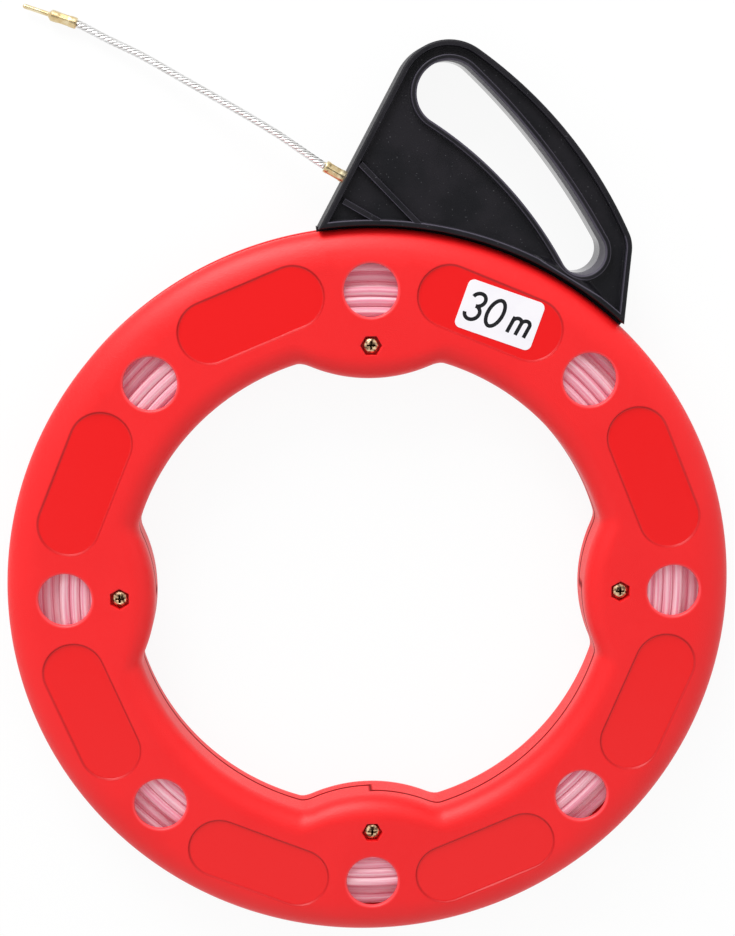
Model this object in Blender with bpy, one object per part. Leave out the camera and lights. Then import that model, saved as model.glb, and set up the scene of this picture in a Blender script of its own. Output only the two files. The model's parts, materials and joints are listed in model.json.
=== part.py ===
"""Fish tape reel: a ring casing of two equal mouldings, a coil of nylon tape and a handle on the rim.

Metres, +Z up. The reel lies on its rear casing with the handle towards +Y. Every piece is drawn about the
reel's own axis, with z = 0 at the mid-plane, and is then hung on an empty that stands on that axis.
"""

import math

import bmesh
import bpy
import numpy as np
from mathutils import Vector
from mathutils.geometry import interpolate_bezier

# Casing
CASE_R = 0.145
CASE_HEIGHT = 0.030
CASE_WALL = 0.0022
RING_WIDTH = 0.0485
LOBE_DEPTH = 0.0102
LOBE_NOSE_R = 0.060
LOBE_BLEND = 0.0025
RIM_ROUND_WIDTH = 0.014
RIM_ROUND_DEPTH = 0.0085
BORE_ROUND_WIDTH = 0.009
BORE_ROUND_DEPTH = 0.008
RIM_SLOT = 0.009
PARTING_STEP = 0.003
PARTING_GAP = 0.0003
STATIONS = 64
LOBES = 4
RIM_STEPS = 4
BORE_STEPS = 3
INSIDE_STEPS = 2

# Windows and pads on each face
WINDOWS = 8
FACE_CIRCLE_SHIFT = 0.00075
WINDOW_R = 0.0105
WINDOW_SIDES = 16
PAD_LENGTH = 0.060
PAD_WIDTH = 0.025
PAD_DEPTH = 0.0008
PAD_EDGE = 0.0012
PAD_ARC_STEP = 30.0

# Casing screws and nuts
SCREW_INSET = 0.0035
SCREW_R = 0.0019
SCREW_HEAD_R = 0.0030
SCREW_HEAD_HEIGHT = 0.0028
NUT_FLATS = 0.0070
NUT_HEIGHT = 0.0030
POCKET_CLEARANCE = 0.00015
POCKET_SPARE = 0.0003
BOSS_R = 0.0055
SEAT_GAP = 0.0003

# Edge of a screw's head: its drop from the top and its step in from the side, as shares of the head's height
HEAD_EDGE = ((1 / 3, 0.0), (1 / 9, 1 / 6), (0.0, 1 / 2))

# Handle, by angle round the rim and standoff from it
HANDLE_DEPTH = 0.027
HANDLE_EDGE = 0.0010
BASE_STANDOFF = 0.0012
BASE_LEFT = 97.9
BASE_RIGHT = 47.2
GRIP_END_ANGLE = 81.3
GRIP_END_STANDOFF = 0.0533
GRIP_END_R = 0.020
GRIP_BULGE = 0.006
GRIP_LEAVE = 53.0
SHOULDER_ANGLE = 53.8
SHOULDER_STANDOFF = 0.0278
SHOULDER_R = 0.014
OPENING_END_R = 0.0123
OPENING_FOOT_ANGLE = 58.66
OPENING_FOOT_STANDOFF = 0.0136
OPENING_FOOT_R = 0.0088
OPENING_OUTER_BULGE = 0.0032
OPENING_INNER_BULGE = 0.0047
PANEL_DEPTH = 0.003
PANEL_LIP = 0.0022
RIB_WIDTH = 0.0022
RIBS = (((91.97, 0.0269), (83.1, 0.0035)), ((94.7, 0.0126), (89.2, 0.0035)))
RIB_OVERRUN = 0.006

# Handle foot in the rim slot
FOOT_CLEARANCE = 0.0003
FOOT_OVERRUN = 0.6
FLANGE_THICKNESS = 0.003
FOOT_ROOT = 0.0035

# Handle screws, driven from the rear
HANDLE_SCREWS = ((85.9, 0.0435), (53.43, 0.0094), (91.5, 0.0066))
HANDLE_SCREW_R = 0.0015
HANDLE_SCREW_HEAD_R = 0.0028
HANDLE_SCREW_HEAD_HEIGHT = 0.0020
HANDLE_SCREW_BITE = 0.007
HEAD_RECESS = 0.0025

# Tape
TAPE_R = 0.002
TANGENT_ANGLE = 60.0
COIL_LAYERS = 4
CLIMB_TURNS = 0.5
COIL_FIRST_TURN = 1
LOOP_POINTS = 24
COIL_RESOLUTION = 1
LAYER_PITCH = 0.0060
COIL_CLEARANCE = 0.0005
STOP_R = 0.0028
STOP_LENGTH = 0.009
STOP_CLEARANCE = 0.0002
STOP_LIFT_TURNS = 0.25
PASSAGE_CLEARANCE = 0.00035

# Leader, its ferrule and its tip
FERRULE_R = 0.0024
FERRULE_INSIDE = 0.004
FERRULE_OUTSIDE = 0.0085
FERRULE_EDGE = 0.0004
ROPE_R = 0.0015
ROPE_STEP = 0.006
ROPE_RESOLUTION = 2
TIP_R = 0.0022
TIP_LENGTH = 0.0110
NEEDLE_R = 0.0009
NEEDLE_LENGTH = 0.0105
TIP_HEADING = 161.7

# Leader route from the ferrule's end: along X, along Y, and the share of its fall to the floor.
LEADER_ROUTE = (
    (0.0, 0.0, 0.0),
    (-0.0177, 0.0119, 0.16),
    (-0.0350, 0.0222, 0.39),
    (-0.0527, 0.0322, 0.64),
    (-0.0704, 0.0422, 0.86),
    (-0.0839, 0.0487, 0.97),
    (-0.0949, 0.0543, 1.0),
)

# Sides of turned pieces, steps of arcs and the reach of cutters past what they cut
TURNED_SIDES = 12
ARC_STEP = 12.0
BULGE_STEP = 4.0
BULGE_LEAST_STEPS = 3
LEAST_MITRE = 0.5
CUT_MARGIN = 0.001
SHARP_ANGLE = math.radians(35)

# Sizes that follow from those above
HALF = CASE_HEIGHT / 2
BORE_R = CASE_R - RING_WIDTH
LOBE_REACH = BORE_R - LOBE_DEPTH
SCREW_CIRCLE_R = BORE_R + SCREW_INSET
FACE_CIRCLE_R = (CASE_R + BORE_R) / 2 + FACE_CIRCLE_SHIFT
POCKET_FLATS = NUT_FLATS + 2 * POCKET_CLEARANCE
POCKET_DEPTH = NUT_HEIGHT + SEAT_GAP + POCKET_SPARE
HOLE_R = SCREW_R + SEAT_GAP
FLANGE_OUT = CASE_R - CASE_WALL - FOOT_CLEARANCE
FLANGE_IN = FLANGE_OUT - FLANGE_THICKNESS
FLANGE_HALF = HALF - RIM_ROUND_DEPTH - FOOT_CLEARANCE
NECK_HALF = RIM_SLOT / 2 - FOOT_CLEARANCE
RUN_R = FLANGE_IN - TAPE_R
COIL_OUT_R = RUN_R - 2 * TAPE_R - SEAT_GAP
COIL_IN_R = max(SCREW_CIRCLE_R + BOSS_R, BORE_R + BORE_ROUND_WIDTH) + TAPE_R + COIL_CLEARANCE
COIL_LOOPS = max(1, int((COIL_OUT_R - COIL_IN_R) / (STOP_R + TAPE_R + STOP_CLEARANCE)))
COIL_FLOOR = -HALF + CASE_WALL + SEAT_GAP
PASSAGE_R = FERRULE_R + PASSAGE_CLEARANCE
HANDLE_TOP = HANDLE_DEPTH / 2
PANEL_FLOOR = HANDLE_TOP - PANEL_DEPTH
LEADER_FALL = HALF - TIP_R - SEAT_GAP


def clear_scene():
    """Empties the scene."""
    for obj in list(bpy.data.objects):
        bpy.data.objects.remove(obj, do_unlink=True)


def finish(name, colour, roughness, metallic=0.0):
    """A plain material of one colour."""
    material = bpy.data.materials.new(name)
    material.use_nodes = True
    shader = material.node_tree.nodes["Principled BSDF"]
    shader.inputs["Base Color"].default_value = (*colour, 1.0)
    shader.inputs["Roughness"].default_value = roughness
    shader.inputs["Metallic"].default_value = metallic
    return material


def polar(angle, radius, z=0.0):
    """A point at an angle in degrees round the reel's axis."""
    turn = math.radians(angle)
    return Vector((radius * math.cos(turn), radius * math.sin(turn), z))


def off_rim(angle, standoff):
    """A point of the handle from its angle and its standoff from the rim."""
    return polar(angle, CASE_R + standoff)


def heading(angle):
    """The unit vector at an angle in degrees in the reel's plane."""
    return polar(angle, 1.0)


def arc(centre, radius, start, end, step=ARC_STEP):
    """Points on an arc from one angle to another, in degrees."""
    steps = max(2, math.ceil(abs(end - start) / step))
    return [centre + polar(start + (end - start) * i / steps, radius) for i in range(steps + 1)]


def bulged(start, end, rise):
    """Points between two ends on an arc that stands off their chord, to its right, by the rise."""
    chord = end - start
    right = Vector((chord.y, -chord.x, 0)).normalized()
    radius = ((chord.length / 2) ** 2 + rise**2) / (2 * abs(rise))
    centre = (start + end) / 2 + right * (rise - math.copysign(radius, rise))
    first, last = start - centre, end - centre
    sweep = math.degrees(math.atan2(first.cross(last).z, first.dot(last)))
    begin = math.degrees(math.atan2(first.y, first.x))
    steps = max(BULGE_LEAST_STEPS, math.ceil(abs(sweep) / BULGE_STEP))
    return [centre + polar(begin + sweep * i / steps, radius) for i in range(1, steps)]


def bulge_turn(start, end, rise):
    """Degrees by which a bulged edge turns away from its chord at each end."""
    return math.degrees(2 * math.atan2(2 * rise, (end - start).length))


def offset(outline, distance):
    """A counter-clockwise outline moved outwards by a distance, or inwards by a negative one."""
    moved = []
    for index, point in enumerate(outline):
        into = (point - outline[index - 1]).normalized()
        out = (outline[(index + 1) % len(outline)] - point).normalized()
        normal = Vector((into.y + out.y, -into.x - out.x, 0)).normalized()
        moved.append(point + normal * distance / max(normal.dot(Vector((into.y, -into.x, 0))), LEAST_MITRE))
    return moved


def raised(outline, z):
    """The outline at a height."""
    return [Vector((point.x, point.y, z)) for point in outline]


def swept(sections, closed=False, bm=None):
    """A skin through cross-sections, closed into a ring or capped at both ends."""
    bm = bm or bmesh.new()
    rows = [[bm.verts.new(point) for point in section] for section in sections]
    following = rows[1:] + rows[:1] if closed else rows[1:]
    faces = []
    for first, second in zip(rows, following):
        for index, corner in enumerate(first):
            after = (index + 1) % len(first)
            faces.append(bm.faces.new((corner, first[after], second[after], second[index])))
    if not closed:
        faces.append(bm.faces.new(rows[0]))
        faces.append(bm.faces.new(rows[-1]))
    bmesh.ops.recalc_face_normals(bm, faces=faces)
    return bm


def prism(outline, low, high, bm=None):
    """An outline drawn up from one height to another."""
    return swept([raised(outline, low), raised(outline, high)], bm=bm)


def turned(profile, origin, axis, sides=TURNED_SIDES, bm=None, first_angle=0.0):
    """A profile of (distance, radius) pairs turned about an axis through the origin."""
    axis = axis.normalized()
    side = Vector((1, 0, 0)) if abs(axis.z) > math.cos(math.pi / 4) else axis.orthogonal().normalized()
    other = axis.cross(side)
    turns = [math.radians(first_angle) + 2 * math.pi * i / sides for i in range(sides)]
    spokes = [side * math.cos(turn) + other * math.sin(turn) for turn in turns]
    sections = [[origin + axis * along + spoke * radius for spoke in spokes] for along, radius in profile]
    return swept(sections, bm=bm)


def add_piece(name, bm, material=None):
    """An object from a finished mesh, with its round faces shaded smooth."""
    mesh = bpy.data.meshes.new(name)
    bm.to_mesh(mesh)
    bm.free()
    mesh.shade_smooth()
    mesh.set_sharp_from_angle(angle=SHARP_ANGLE)
    return add_copy(name, mesh, material)


def add_copy(name, mesh, material=None):
    """An object that holds a mesh."""
    piece = bpy.data.objects.new(name, mesh)
    bpy.context.scene.collection.objects.link(piece)
    if material and material.name not in mesh.materials:
        mesh.materials.append(material)
    return piece


def combine(piece, tool, operation):
    """A Boolean between a piece and a helper that stays out of the render."""
    modifier = piece.modifiers.new(tool.name, "BOOLEAN")
    modifier.operation = operation
    modifier.object = tool
    modifier.solver = "EXACT"
    tool.hide_render = True
    tool.display_type = "WIRE"


def settle(piece):
    """Applies the piece's Booleans and removes their helpers, those of a helper too."""
    bpy.context.view_layer.update()
    graph = bpy.context.evaluated_depsgraph_get()
    mesh = bpy.data.meshes.new_from_object(piece.evaluated_get(graph))
    helpers = [modifier.object for modifier in piece.modifiers]
    piece.modifiers.clear()
    piece.data = mesh
    while helpers:
        helper = helpers.pop()
        helpers += [modifier.object for modifier in helper.modifiers]
        bpy.data.objects.remove(helper, do_unlink=True)
    mesh.shade_smooth()
    mesh.set_sharp_from_angle(angle=SHARP_ANGLE)
    return mesh


def hang(piece, carrier):
    """Parents a piece to the empty that carries it."""
    piece.parent = carrier


def bore_radius(angle):
    """The bore's radius at an angle: a round bore, drawn in by a soft-shouldered lobe at each screw."""
    spread = 360 / LOBES
    turn = math.radians((angle + spread / 2) % spread - spread / 2)
    centre = LOBE_REACH + LOBE_NOSE_R
    inside = LOBE_NOSE_R**2 - (centre * math.sin(turn)) ** 2
    if inside <= 0:
        return BORE_R
    nose = centre * math.cos(turn) - math.sqrt(inside)
    share = min(max(0.5 + (BORE_R - nose) / (2 * LOBE_BLEND), 0), 1)
    return BORE_R + (nose - BORE_R) * share - LOBE_BLEND * share * (1 - share)


def quarter(radius, z, width, depth, steps, flip=False):
    """Points of a quarter ellipse from its side at the radius to its top, inwards or, flipped, outwards."""
    side = 1 if flip else -1
    turns = [math.pi / 2 * i / steps for i in range(steps + 1)]
    return [(radius + side * width * (1 - math.cos(turn)), z + depth * math.sin(turn)) for turn in turns]


def shell_section(angle, edge):
    """The front casing's wall at an angle, as points round its section, down to the parting edge."""
    bore = bore_radius(angle)
    rim_z, bore_z = HALF - RIM_ROUND_DEPTH, HALF - BORE_ROUND_DEPTH
    inner_rim = CASE_R - CASE_WALL
    outside = [(CASE_R, RIM_SLOT / 2)]
    outside += quarter(CASE_R, rim_z, RIM_ROUND_WIDTH, RIM_ROUND_DEPTH, RIM_STEPS)
    outside += reversed(quarter(bore, bore_z, BORE_ROUND_WIDTH, BORE_ROUND_DEPTH, BORE_STEPS, flip=True))
    outside.append((bore, edge))
    wide, deep = BORE_ROUND_WIDTH - CASE_WALL, BORE_ROUND_DEPTH - CASE_WALL
    inside = [(bore + CASE_WALL, edge)]
    inside += quarter(bore + CASE_WALL, bore_z, wide, deep, INSIDE_STEPS, flip=True)
    wide, deep = RIM_ROUND_WIDTH - CASE_WALL, RIM_ROUND_DEPTH - CASE_WALL
    inside += reversed(quarter(inner_rim, rim_z, wide, deep, INSIDE_STEPS))
    inside.append((inner_rim, RIM_SLOT / 2))
    return [polar(angle, radius, z) for radius, z in outside + inside]


def shell_stations():
    """Angles round the casing with their parting edge, which steps up or down at each lobe's middle."""
    spread = 360 / LOBES
    half_gap = math.degrees(PARTING_GAP / 2 / LOBE_REACH)
    stations = []
    for lobe in range(LOBES):
        rise = PARTING_STEP if lobe % 2 else -PARTING_STEP
        edges = (-rise + PARTING_GAP / 2, rise + PARTING_GAP / 2)
        step = lobe * spread + (half_gap if lobe % 2 == 0 else -half_gap)
        stations += [(step - half_gap / 2, edges[0]), (step + half_gap / 2, edges[1])]
        count = STATIONS // LOBES
        stations += [(lobe * spread + spread * i / count, edges[1]) for i in range(1, count)]
    return stations


def stadium(angle, radius, length, width):
    """A straight panel with round ends, square to a spoke at an angle."""
    centre, end = polar(angle, radius), width / 2
    along = heading(angle + 90) * (length / 2 - end)
    far = arc(centre + along, end, angle, angle + 180, PAD_ARC_STEP)
    return far + arc(centre - along, end, angle + 180, angle + 360, PAD_ARC_STEP)


def window_cutter():
    """The round windows through one face."""
    bm = bmesh.new()
    profile = ((HALF - CASE_WALL - CUT_MARGIN, WINDOW_R), (HALF + CUT_MARGIN, WINDOW_R))
    for index in range(WINDOWS):
        centre = polar(360 / WINDOWS * index, FACE_CIRCLE_R)
        turned(profile, centre, Vector((0, 0, 1)), WINDOW_SIDES, bm)
    return add_piece("windows", bm)


def pad_cutter():
    """The shallow pads between the windows, with sloped edges."""
    bm = bmesh.new()
    flare = PAD_EDGE * CUT_MARGIN / PAD_DEPTH
    for index in range(WINDOWS):
        outline = stadium(360 / WINDOWS * (index + 0.5), FACE_CIRCLE_R, PAD_LENGTH, PAD_WIDTH)
        low = raised(offset(outline, -PAD_EDGE), HALF - PAD_DEPTH)
        high = raised(offset(outline, flare), HALF + CUT_MARGIN)
        swept([low, high], bm=bm)
    return add_piece("pads", bm)


def at_screws(name, profile, sides, corner=0.0):
    """The same turned shape on each casing screw's axis."""
    bm = bmesh.new()
    for lobe in range(LOBES):
        angle = 360 / LOBES * lobe
        turned(profile, polar(angle, SCREW_CIRCLE_R), Vector((0, 0, 1)), sides, bm, angle + corner)
    return add_piece(name, bm)


def hex_radius(flats):
    """A hexagon's corner radius from its width across flats."""
    return flats / 2 / math.cos(math.pi / 6)


def make_shells(plastic):
    """The two casing mouldings, which are one shape: the rear one is the front one turned over."""
    sections = [shell_section(angle, edge) for angle, edge in shell_stations()]
    front = add_piece("front_shell", swept(sections, closed=True), plastic)
    boss = ((PARTING_GAP / 2, BOSS_R), (HALF - CASE_WALL / 2, BOSS_R))
    hole = ((-CUT_MARGIN, HOLE_R), (HALF + CUT_MARGIN, HOLE_R))
    pocket_r = hex_radius(POCKET_FLATS)
    pocket = ((HALF - POCKET_DEPTH, pocket_r), (HALF + CUT_MARGIN, pocket_r))
    combine(front, at_screws("bosses", boss, TURNED_SIDES), "UNION")
    combine(front, window_cutter(), "DIFFERENCE")
    combine(front, pad_cutter(), "DIFFERENCE")
    combine(front, at_screws("nut_pockets", pocket, 6, 90), "DIFFERENCE")
    combine(front, at_screws("screw_holes", hole, TURNED_SIDES), "DIFFERENCE")
    rear = add_copy("rear_shell", settle(front))
    rear.rotation_euler = (math.pi, 0, 0)
    return [front, rear]


def screw_mesh(head_r, head_height, shank_r, length):
    """A pan-head screw along +Z with the underside of its head at zero."""
    profile = [(-length, shank_r), (0, shank_r), (0, head_r)]
    profile += [(head_height * (1 - drop), head_r - head_height * step) for drop, step in HEAD_EDGE]
    return turned(profile, Vector(), Vector((0, 0, 1)))


def make_casing_screws(zinc):
    """Four screws from the front and four nuts in the rear pockets."""
    seat = HALF - POCKET_DEPTH + SEAT_GAP
    screw_length = seat + HALF - POCKET_SPARE - SEAT_GAP
    bm = screw_mesh(SCREW_HEAD_R, SCREW_HEAD_HEIGHT, SCREW_R, screw_length)
    screw = add_piece("shell_screw_1", bm, zinc)
    hexagon = hex_radius(NUT_FLATS)
    faces = ((-NUT_HEIGHT / 2, hexagon), (NUT_HEIGHT / 2, hexagon))
    nut = add_piece("shell_nut_1", turned(faces, Vector(), Vector((0, 0, 1)), 6, first_angle=90), zinc)
    bore = ((-NUT_HEIGHT, HOLE_R), (NUT_HEIGHT, HOLE_R))
    combine(nut, add_piece("nut_bore", turned(bore, Vector(), Vector((0, 0, 1)), TURNED_SIDES)), "DIFFERENCE")
    settle(nut)
    pieces = []
    for lobe in range(LOBES):
        number = lobe + 1
        angle = 360 / LOBES * lobe
        head = screw if lobe == 0 else add_copy(f"shell_screw_{number}", screw.data)
        fastener = nut if lobe == 0 else add_copy(f"shell_nut_{number}", nut.data)
        head.location = polar(angle, SCREW_CIRCLE_R, seat)
        fastener.location = polar(angle, SCREW_CIRCLE_R, -seat - NUT_HEIGHT / 2)
        for piece in (head, fastener):
            piece.rotation_euler = (0, 0, math.radians(angle))
            pieces.append(piece)
    return pieces


def handle_outline():
    """The handle seen from the front, counter-clockwise from its right foot."""
    base = CASE_R + BASE_STANDOFF
    right, left = polar(BASE_RIGHT, base), polar(BASE_LEFT, base)
    end = off_rim(GRIP_END_ANGLE, GRIP_END_STANDOFF)
    shoulder = off_rim(SHOULDER_ANGLE, SHOULDER_STANDOFF)
    top = end + heading(GRIP_LEAVE) * GRIP_END_R
    rise = math.degrees(math.atan2(shoulder.y - right.y, shoulder.x - right.x))
    toward = top - shoulder
    lean = math.degrees(math.atan2(toward.y, toward.x)) - bulge_turn(shoulder, top, GRIP_BULGE)
    reach = SHOULDER_R * math.tan(math.radians(lean - rise) / 2)
    centre = shoulder - heading(rise) * reach + heading(rise + 90) * SHOULDER_R
    corner = arc(centre, SHOULDER_R, rise - 90, lean - 90)
    to_end = end - left
    bearing = math.degrees(math.atan2(to_end.y, to_end.x))
    lift = math.degrees(math.asin(GRIP_END_R / to_end.length))
    leave = math.degrees(math.atan2(toward.y, toward.x)) + bulge_turn(shoulder, top, GRIP_BULGE) - 90
    outline = [right] + corner + bulged(corner[-1], end + heading(leave) * GRIP_END_R, GRIP_BULGE)
    outline += arc(end, GRIP_END_R, leave, bearing + lift + 90)
    return outline + arc(Vector(), base, BASE_LEFT, BASE_RIGHT)[:-1]


def opening_outline():
    """The finger opening: a curved slot between a wide round end and a narrow one, counter-clockwise."""
    wide = off_rim(GRIP_END_ANGLE, GRIP_END_STANDOFF)
    narrow = off_rim(OPENING_FOOT_ANGLE, OPENING_FOOT_STANDOFF)
    axis = narrow - wide
    bearing = math.degrees(math.atan2(axis.y, axis.x))
    inner = bulge_turn(wide, narrow, OPENING_INNER_BULGE)
    outer = bulge_turn(wide, narrow, OPENING_OUTER_BULGE)
    foot = arc(narrow, OPENING_FOOT_R, bearing - 90 - inner, bearing + 90 - outer)
    head = arc(wide, OPENING_END_R, bearing + 90 + outer, bearing + 270 + inner)
    outline = foot + bulged(foot[-1], head[0], OPENING_OUTER_BULGE) + head
    return outline + bulged(head[-1], foot[0], -OPENING_INNER_BULGE)


def rib_outline(start, end):
    """A straight rib between two places on the handle, drawn on past both."""
    along = (end - start).normalized()
    across = Vector((-along.y, along.x, 0)) * RIB_WIDTH / 2
    first, last = start - along * RIB_OVERRUN, end + along * RIB_OVERRUN
    return [first - across, last - across, last + across, first + across]


def panel_cutter(side):
    """The sunk panel inside the handle's lip, less the collar of the opening and the ribs."""
    low, high = side * PANEL_FLOOR, side * (HANDLE_TOP + CUT_MARGIN)
    reach = (low - side * CUT_MARGIN, high + side * CUT_MARGIN)
    panel = add_piece("panel", prism(offset(handle_outline(), -PANEL_LIP), low, high))
    collar = offset(opening_outline(), PANEL_LIP)
    combine(panel, add_piece("collar", prism(collar, *reach)), "DIFFERENCE")
    for start, end in RIBS:
        rib = rib_outline(off_rim(*start), off_rim(*end))
        combine(panel, add_piece("rib", prism(rib, *reach)), "DIFFERENCE")
    return panel


def foot_piece(side):
    """The foot that runs in the rim slot: a neck with a flange behind the casing's lips."""
    root = CASE_R + FOOT_ROOT
    section = [(FLANGE_IN, -CUT_MARGIN), (root, -CUT_MARGIN), (root, NECK_HALF)]
    section += [(FLANGE_OUT, NECK_HALF), (FLANGE_OUT, FLANGE_HALF), (FLANGE_IN, FLANGE_HALF)]
    first, last = BASE_RIGHT - FOOT_OVERRUN, BASE_LEFT + FOOT_OVERRUN
    steps = math.ceil((last - first) / (360 / STATIONS))
    angles = [first + (last - first) * i / steps for i in range(steps + 1)]
    sections = [[polar(angle, radius, side * z) for radius, z in section] for angle in angles]
    return add_piece("foot", swept(sections))


def tape_line():
    """Where the tape leaves the coil, its heading, and its distance to the handle's left edge."""
    start = polar(TANGENT_ANGLE, RUN_R)
    way = heading(TANGENT_ANGLE + 90)
    corner = polar(BASE_LEFT, CASE_R + BASE_STANDOFF)
    to_end = off_rim(GRIP_END_ANGLE, GRIP_END_STANDOFF) - corner
    lift = math.asin(GRIP_END_R / to_end.length)
    edge = heading(math.degrees(math.atan2(to_end.y, to_end.x) + lift))
    gap = corner - start
    return start, way, gap.cross(edge).z / way.cross(edge).z


def tape_passage():
    """The straight bore that the tape runs through."""
    start, way, mouth = tape_line()
    profile = ((-PASSAGE_R * 2, PASSAGE_R), (mouth + PASSAGE_R * 2, PASSAGE_R))
    return add_piece("passage", turned(profile, start, way))


def handle_holes(side):
    """The handle screws' holes: blind in the front half, through and sunk in the rear one."""
    bm = bmesh.new()
    radius = HANDLE_SCREW_R + SEAT_GAP
    head = HANDLE_SCREW_HEAD_R + SEAT_GAP
    sunk = PANEL_FLOOR - HEAD_RECESS
    for place in HANDLE_SCREWS:
        centre = off_rim(*place)
        if side > 0:
            profile = ((-CUT_MARGIN, radius), (HANDLE_SCREW_BITE + SEAT_GAP, radius))
        else:
            profile = ((-HANDLE_TOP, head), (-sunk, head), (-sunk, radius), (CUT_MARGIN, radius))
        turned(profile, centre, Vector((0, 0, 1)), bm=bm)
    return add_piece("screw_holes", bm)


def make_handle_half(name, side, plastic):
    """One half of the handle, towards the front for side 1 and the rear for side -1."""
    outline, opening = handle_outline(), opening_outline()
    rim = offset(outline, -HANDLE_EDGE)
    levels = ((outline, -CUT_MARGIN), (outline, HANDLE_TOP - HANDLE_EDGE), (rim, HANDLE_TOP))
    half = add_piece(name, swept([raised(shape, side * z) for shape, z in levels]), plastic)
    mouth = offset(opening, HANDLE_EDGE)
    flare = ((opening, -2 * CUT_MARGIN), (opening, HANDLE_TOP - HANDLE_EDGE), (mouth, HANDLE_TOP))
    beyond = (mouth, HANDLE_TOP + CUT_MARGIN)
    hole = swept([raised(shape, side * z) for shape, z in (*flare, beyond)])
    combine(half, add_piece("opening", hole), "DIFFERENCE")
    combine(half, panel_cutter(side), "DIFFERENCE")
    combine(half, foot_piece(side), "UNION")
    combine(half, tape_passage(), "DIFFERENCE")
    combine(half, handle_holes(side), "DIFFERENCE")
    reach = 2 * CASE_R
    block = [Vector((x, y, 0)) for x, y in ((-reach, 0), (reach, 0), (reach, 2 * reach), (-reach, 2 * reach))]
    parting = prism(block, -side * HALF, side * PARTING_GAP / 2)
    combine(half, add_piece("parting", parting), "DIFFERENCE")
    settle(half)
    return half


def make_handle_screws(steel):
    """The screws that clamp the handle's halves, driven from the rear."""
    seat = PANEL_FLOOR - HEAD_RECESS + SEAT_GAP
    length = seat + HANDLE_SCREW_BITE
    bm = screw_mesh(HANDLE_SCREW_HEAD_R, HANDLE_SCREW_HEAD_HEIGHT, HANDLE_SCREW_R, length)
    first = add_piece("handle_screw_1", bm, steel)
    pieces = []
    for index, place in enumerate(HANDLE_SCREWS):
        piece = first if index == 0 else add_copy(f"handle_screw_{index + 1}", first.data)
        piece.location = off_rim(*place) - Vector((0, 0, seat))
        piece.rotation_euler = (math.pi, 0, 0)
        pieces.append(piece)
    return pieces


def coil_points():
    """The coil's centre line: it spirals in and out again, and climbs a layer where it turns back."""
    turns = COIL_LAYERS * COIL_LOOPS - COIL_FIRST_TURN
    times = COIL_FIRST_TURN + np.arange(turns * LOOP_POINTS + 1) / LOOP_POINTS
    swing = np.abs((times / COIL_LOOPS + 1) % 2 - 1)
    radius = COIL_OUT_R + (COIL_IN_R - COIL_OUT_R) * swing
    climb = np.zeros_like(times)
    for layer in range(1, COIL_LAYERS):
        share = np.clip((times - layer * COIL_LOOPS) / CLIMB_TURNS + 0.5, 0, 1)
        climb += share * share * (3 - 2 * share)
    lift = (STOP_R - TAPE_R) * np.clip(1 - (times - COIL_FIRST_TURN) / STOP_LIFT_TURNS, 0, 1)
    height = COIL_FLOOR + TAPE_R + LAYER_PITCH * climb + lift
    angle = np.radians(TANGENT_ANGLE) + 2 * np.pi * times
    return np.stack([radius * np.cos(angle), radius * np.sin(angle), height], axis=1)


def least_self_gap(points):
    """The smallest space between two stretches of the coil half a turn or more apart."""
    spans = np.linalg.norm(points[:, None] - points[None], axis=2)
    index = np.arange(len(points))
    spans[np.abs(index[:, None] - index[None]) < LOOP_POINTS // 2] = np.inf
    return spans.min() - 2 * TAPE_R


def straight_ends(points, reach):
    """The path with a straight run of the given reach at each end."""
    head = points[0] + (points[0] - points[1]) / np.linalg.norm(points[0] - points[1]) * reach
    tail = points[-1] + (points[-1] - points[-2]) / np.linalg.norm(points[-1] - points[-2]) * reach
    return np.vstack([head, points, tail])


def add_tube(name, points, radius, resolution, material):
    """A round tube along a path, closed at both ends."""
    data = bpy.data.curves.new(name, "CURVE")
    data.dimensions = "3D"
    data.bevel_depth = radius
    data.bevel_resolution = resolution
    data.use_fill_caps = True
    spline = data.splines.new("POLY")
    spline.points.add(len(points) - 1)
    for knot, point in zip(spline.points, points):
        knot.co = (*point, 1.0)
    data.materials.append(material)
    tube = bpy.data.objects.new(name, data)
    bpy.context.scene.collection.objects.link(tube)
    return tube


def make_coil(nylon, brass):
    """The wound tape and the crimped stop on its inner end."""
    points = coil_points()
    print(f"least gap of the coil to itself: {least_self_gap(points) * 1000:.2f} mm")
    path = straight_ends(points, 2 * TAPE_R)
    coil = add_tube("tape_coil", path, TAPE_R, COIL_RESOLUTION, nylon)
    head, back = Vector(path[0]), Vector(path[0] - path[1])
    edge = FERRULE_EDGE
    profile = ((SEAT_GAP, STOP_R - edge), (SEAT_GAP + edge, STOP_R), (STOP_LENGTH, STOP_R))
    stop = add_piece("tape_end_stop", turned(profile, head, back), brass)
    return [coil, stop]


def leader_path(start):
    """Points every step along a smooth curve through the leader's route."""
    knots = [start + Vector((x, y, -share * LEADER_FALL)) for x, y, share in LEADER_ROUTE]
    first = knots[0] - heading(TANGENT_ANGLE + 90) * (knots[1] - knots[0]).length
    last = knots[-1] + heading(TIP_HEADING) * (knots[-1] - knots[-2]).length
    chain = [first] + knots + [last]
    points = [knots[0]]
    for before, here, there, after in zip(chain, chain[1:], chain[2:], chain[3:]):
        count = max(2, round((there - here).length / ROPE_STEP)) + 1
        leave, arrive = here + (there - before) / 6, there - (after - here) / 6
        points += interpolate_bezier(here, leave, arrive, there, count)[1:]
    return points


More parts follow.
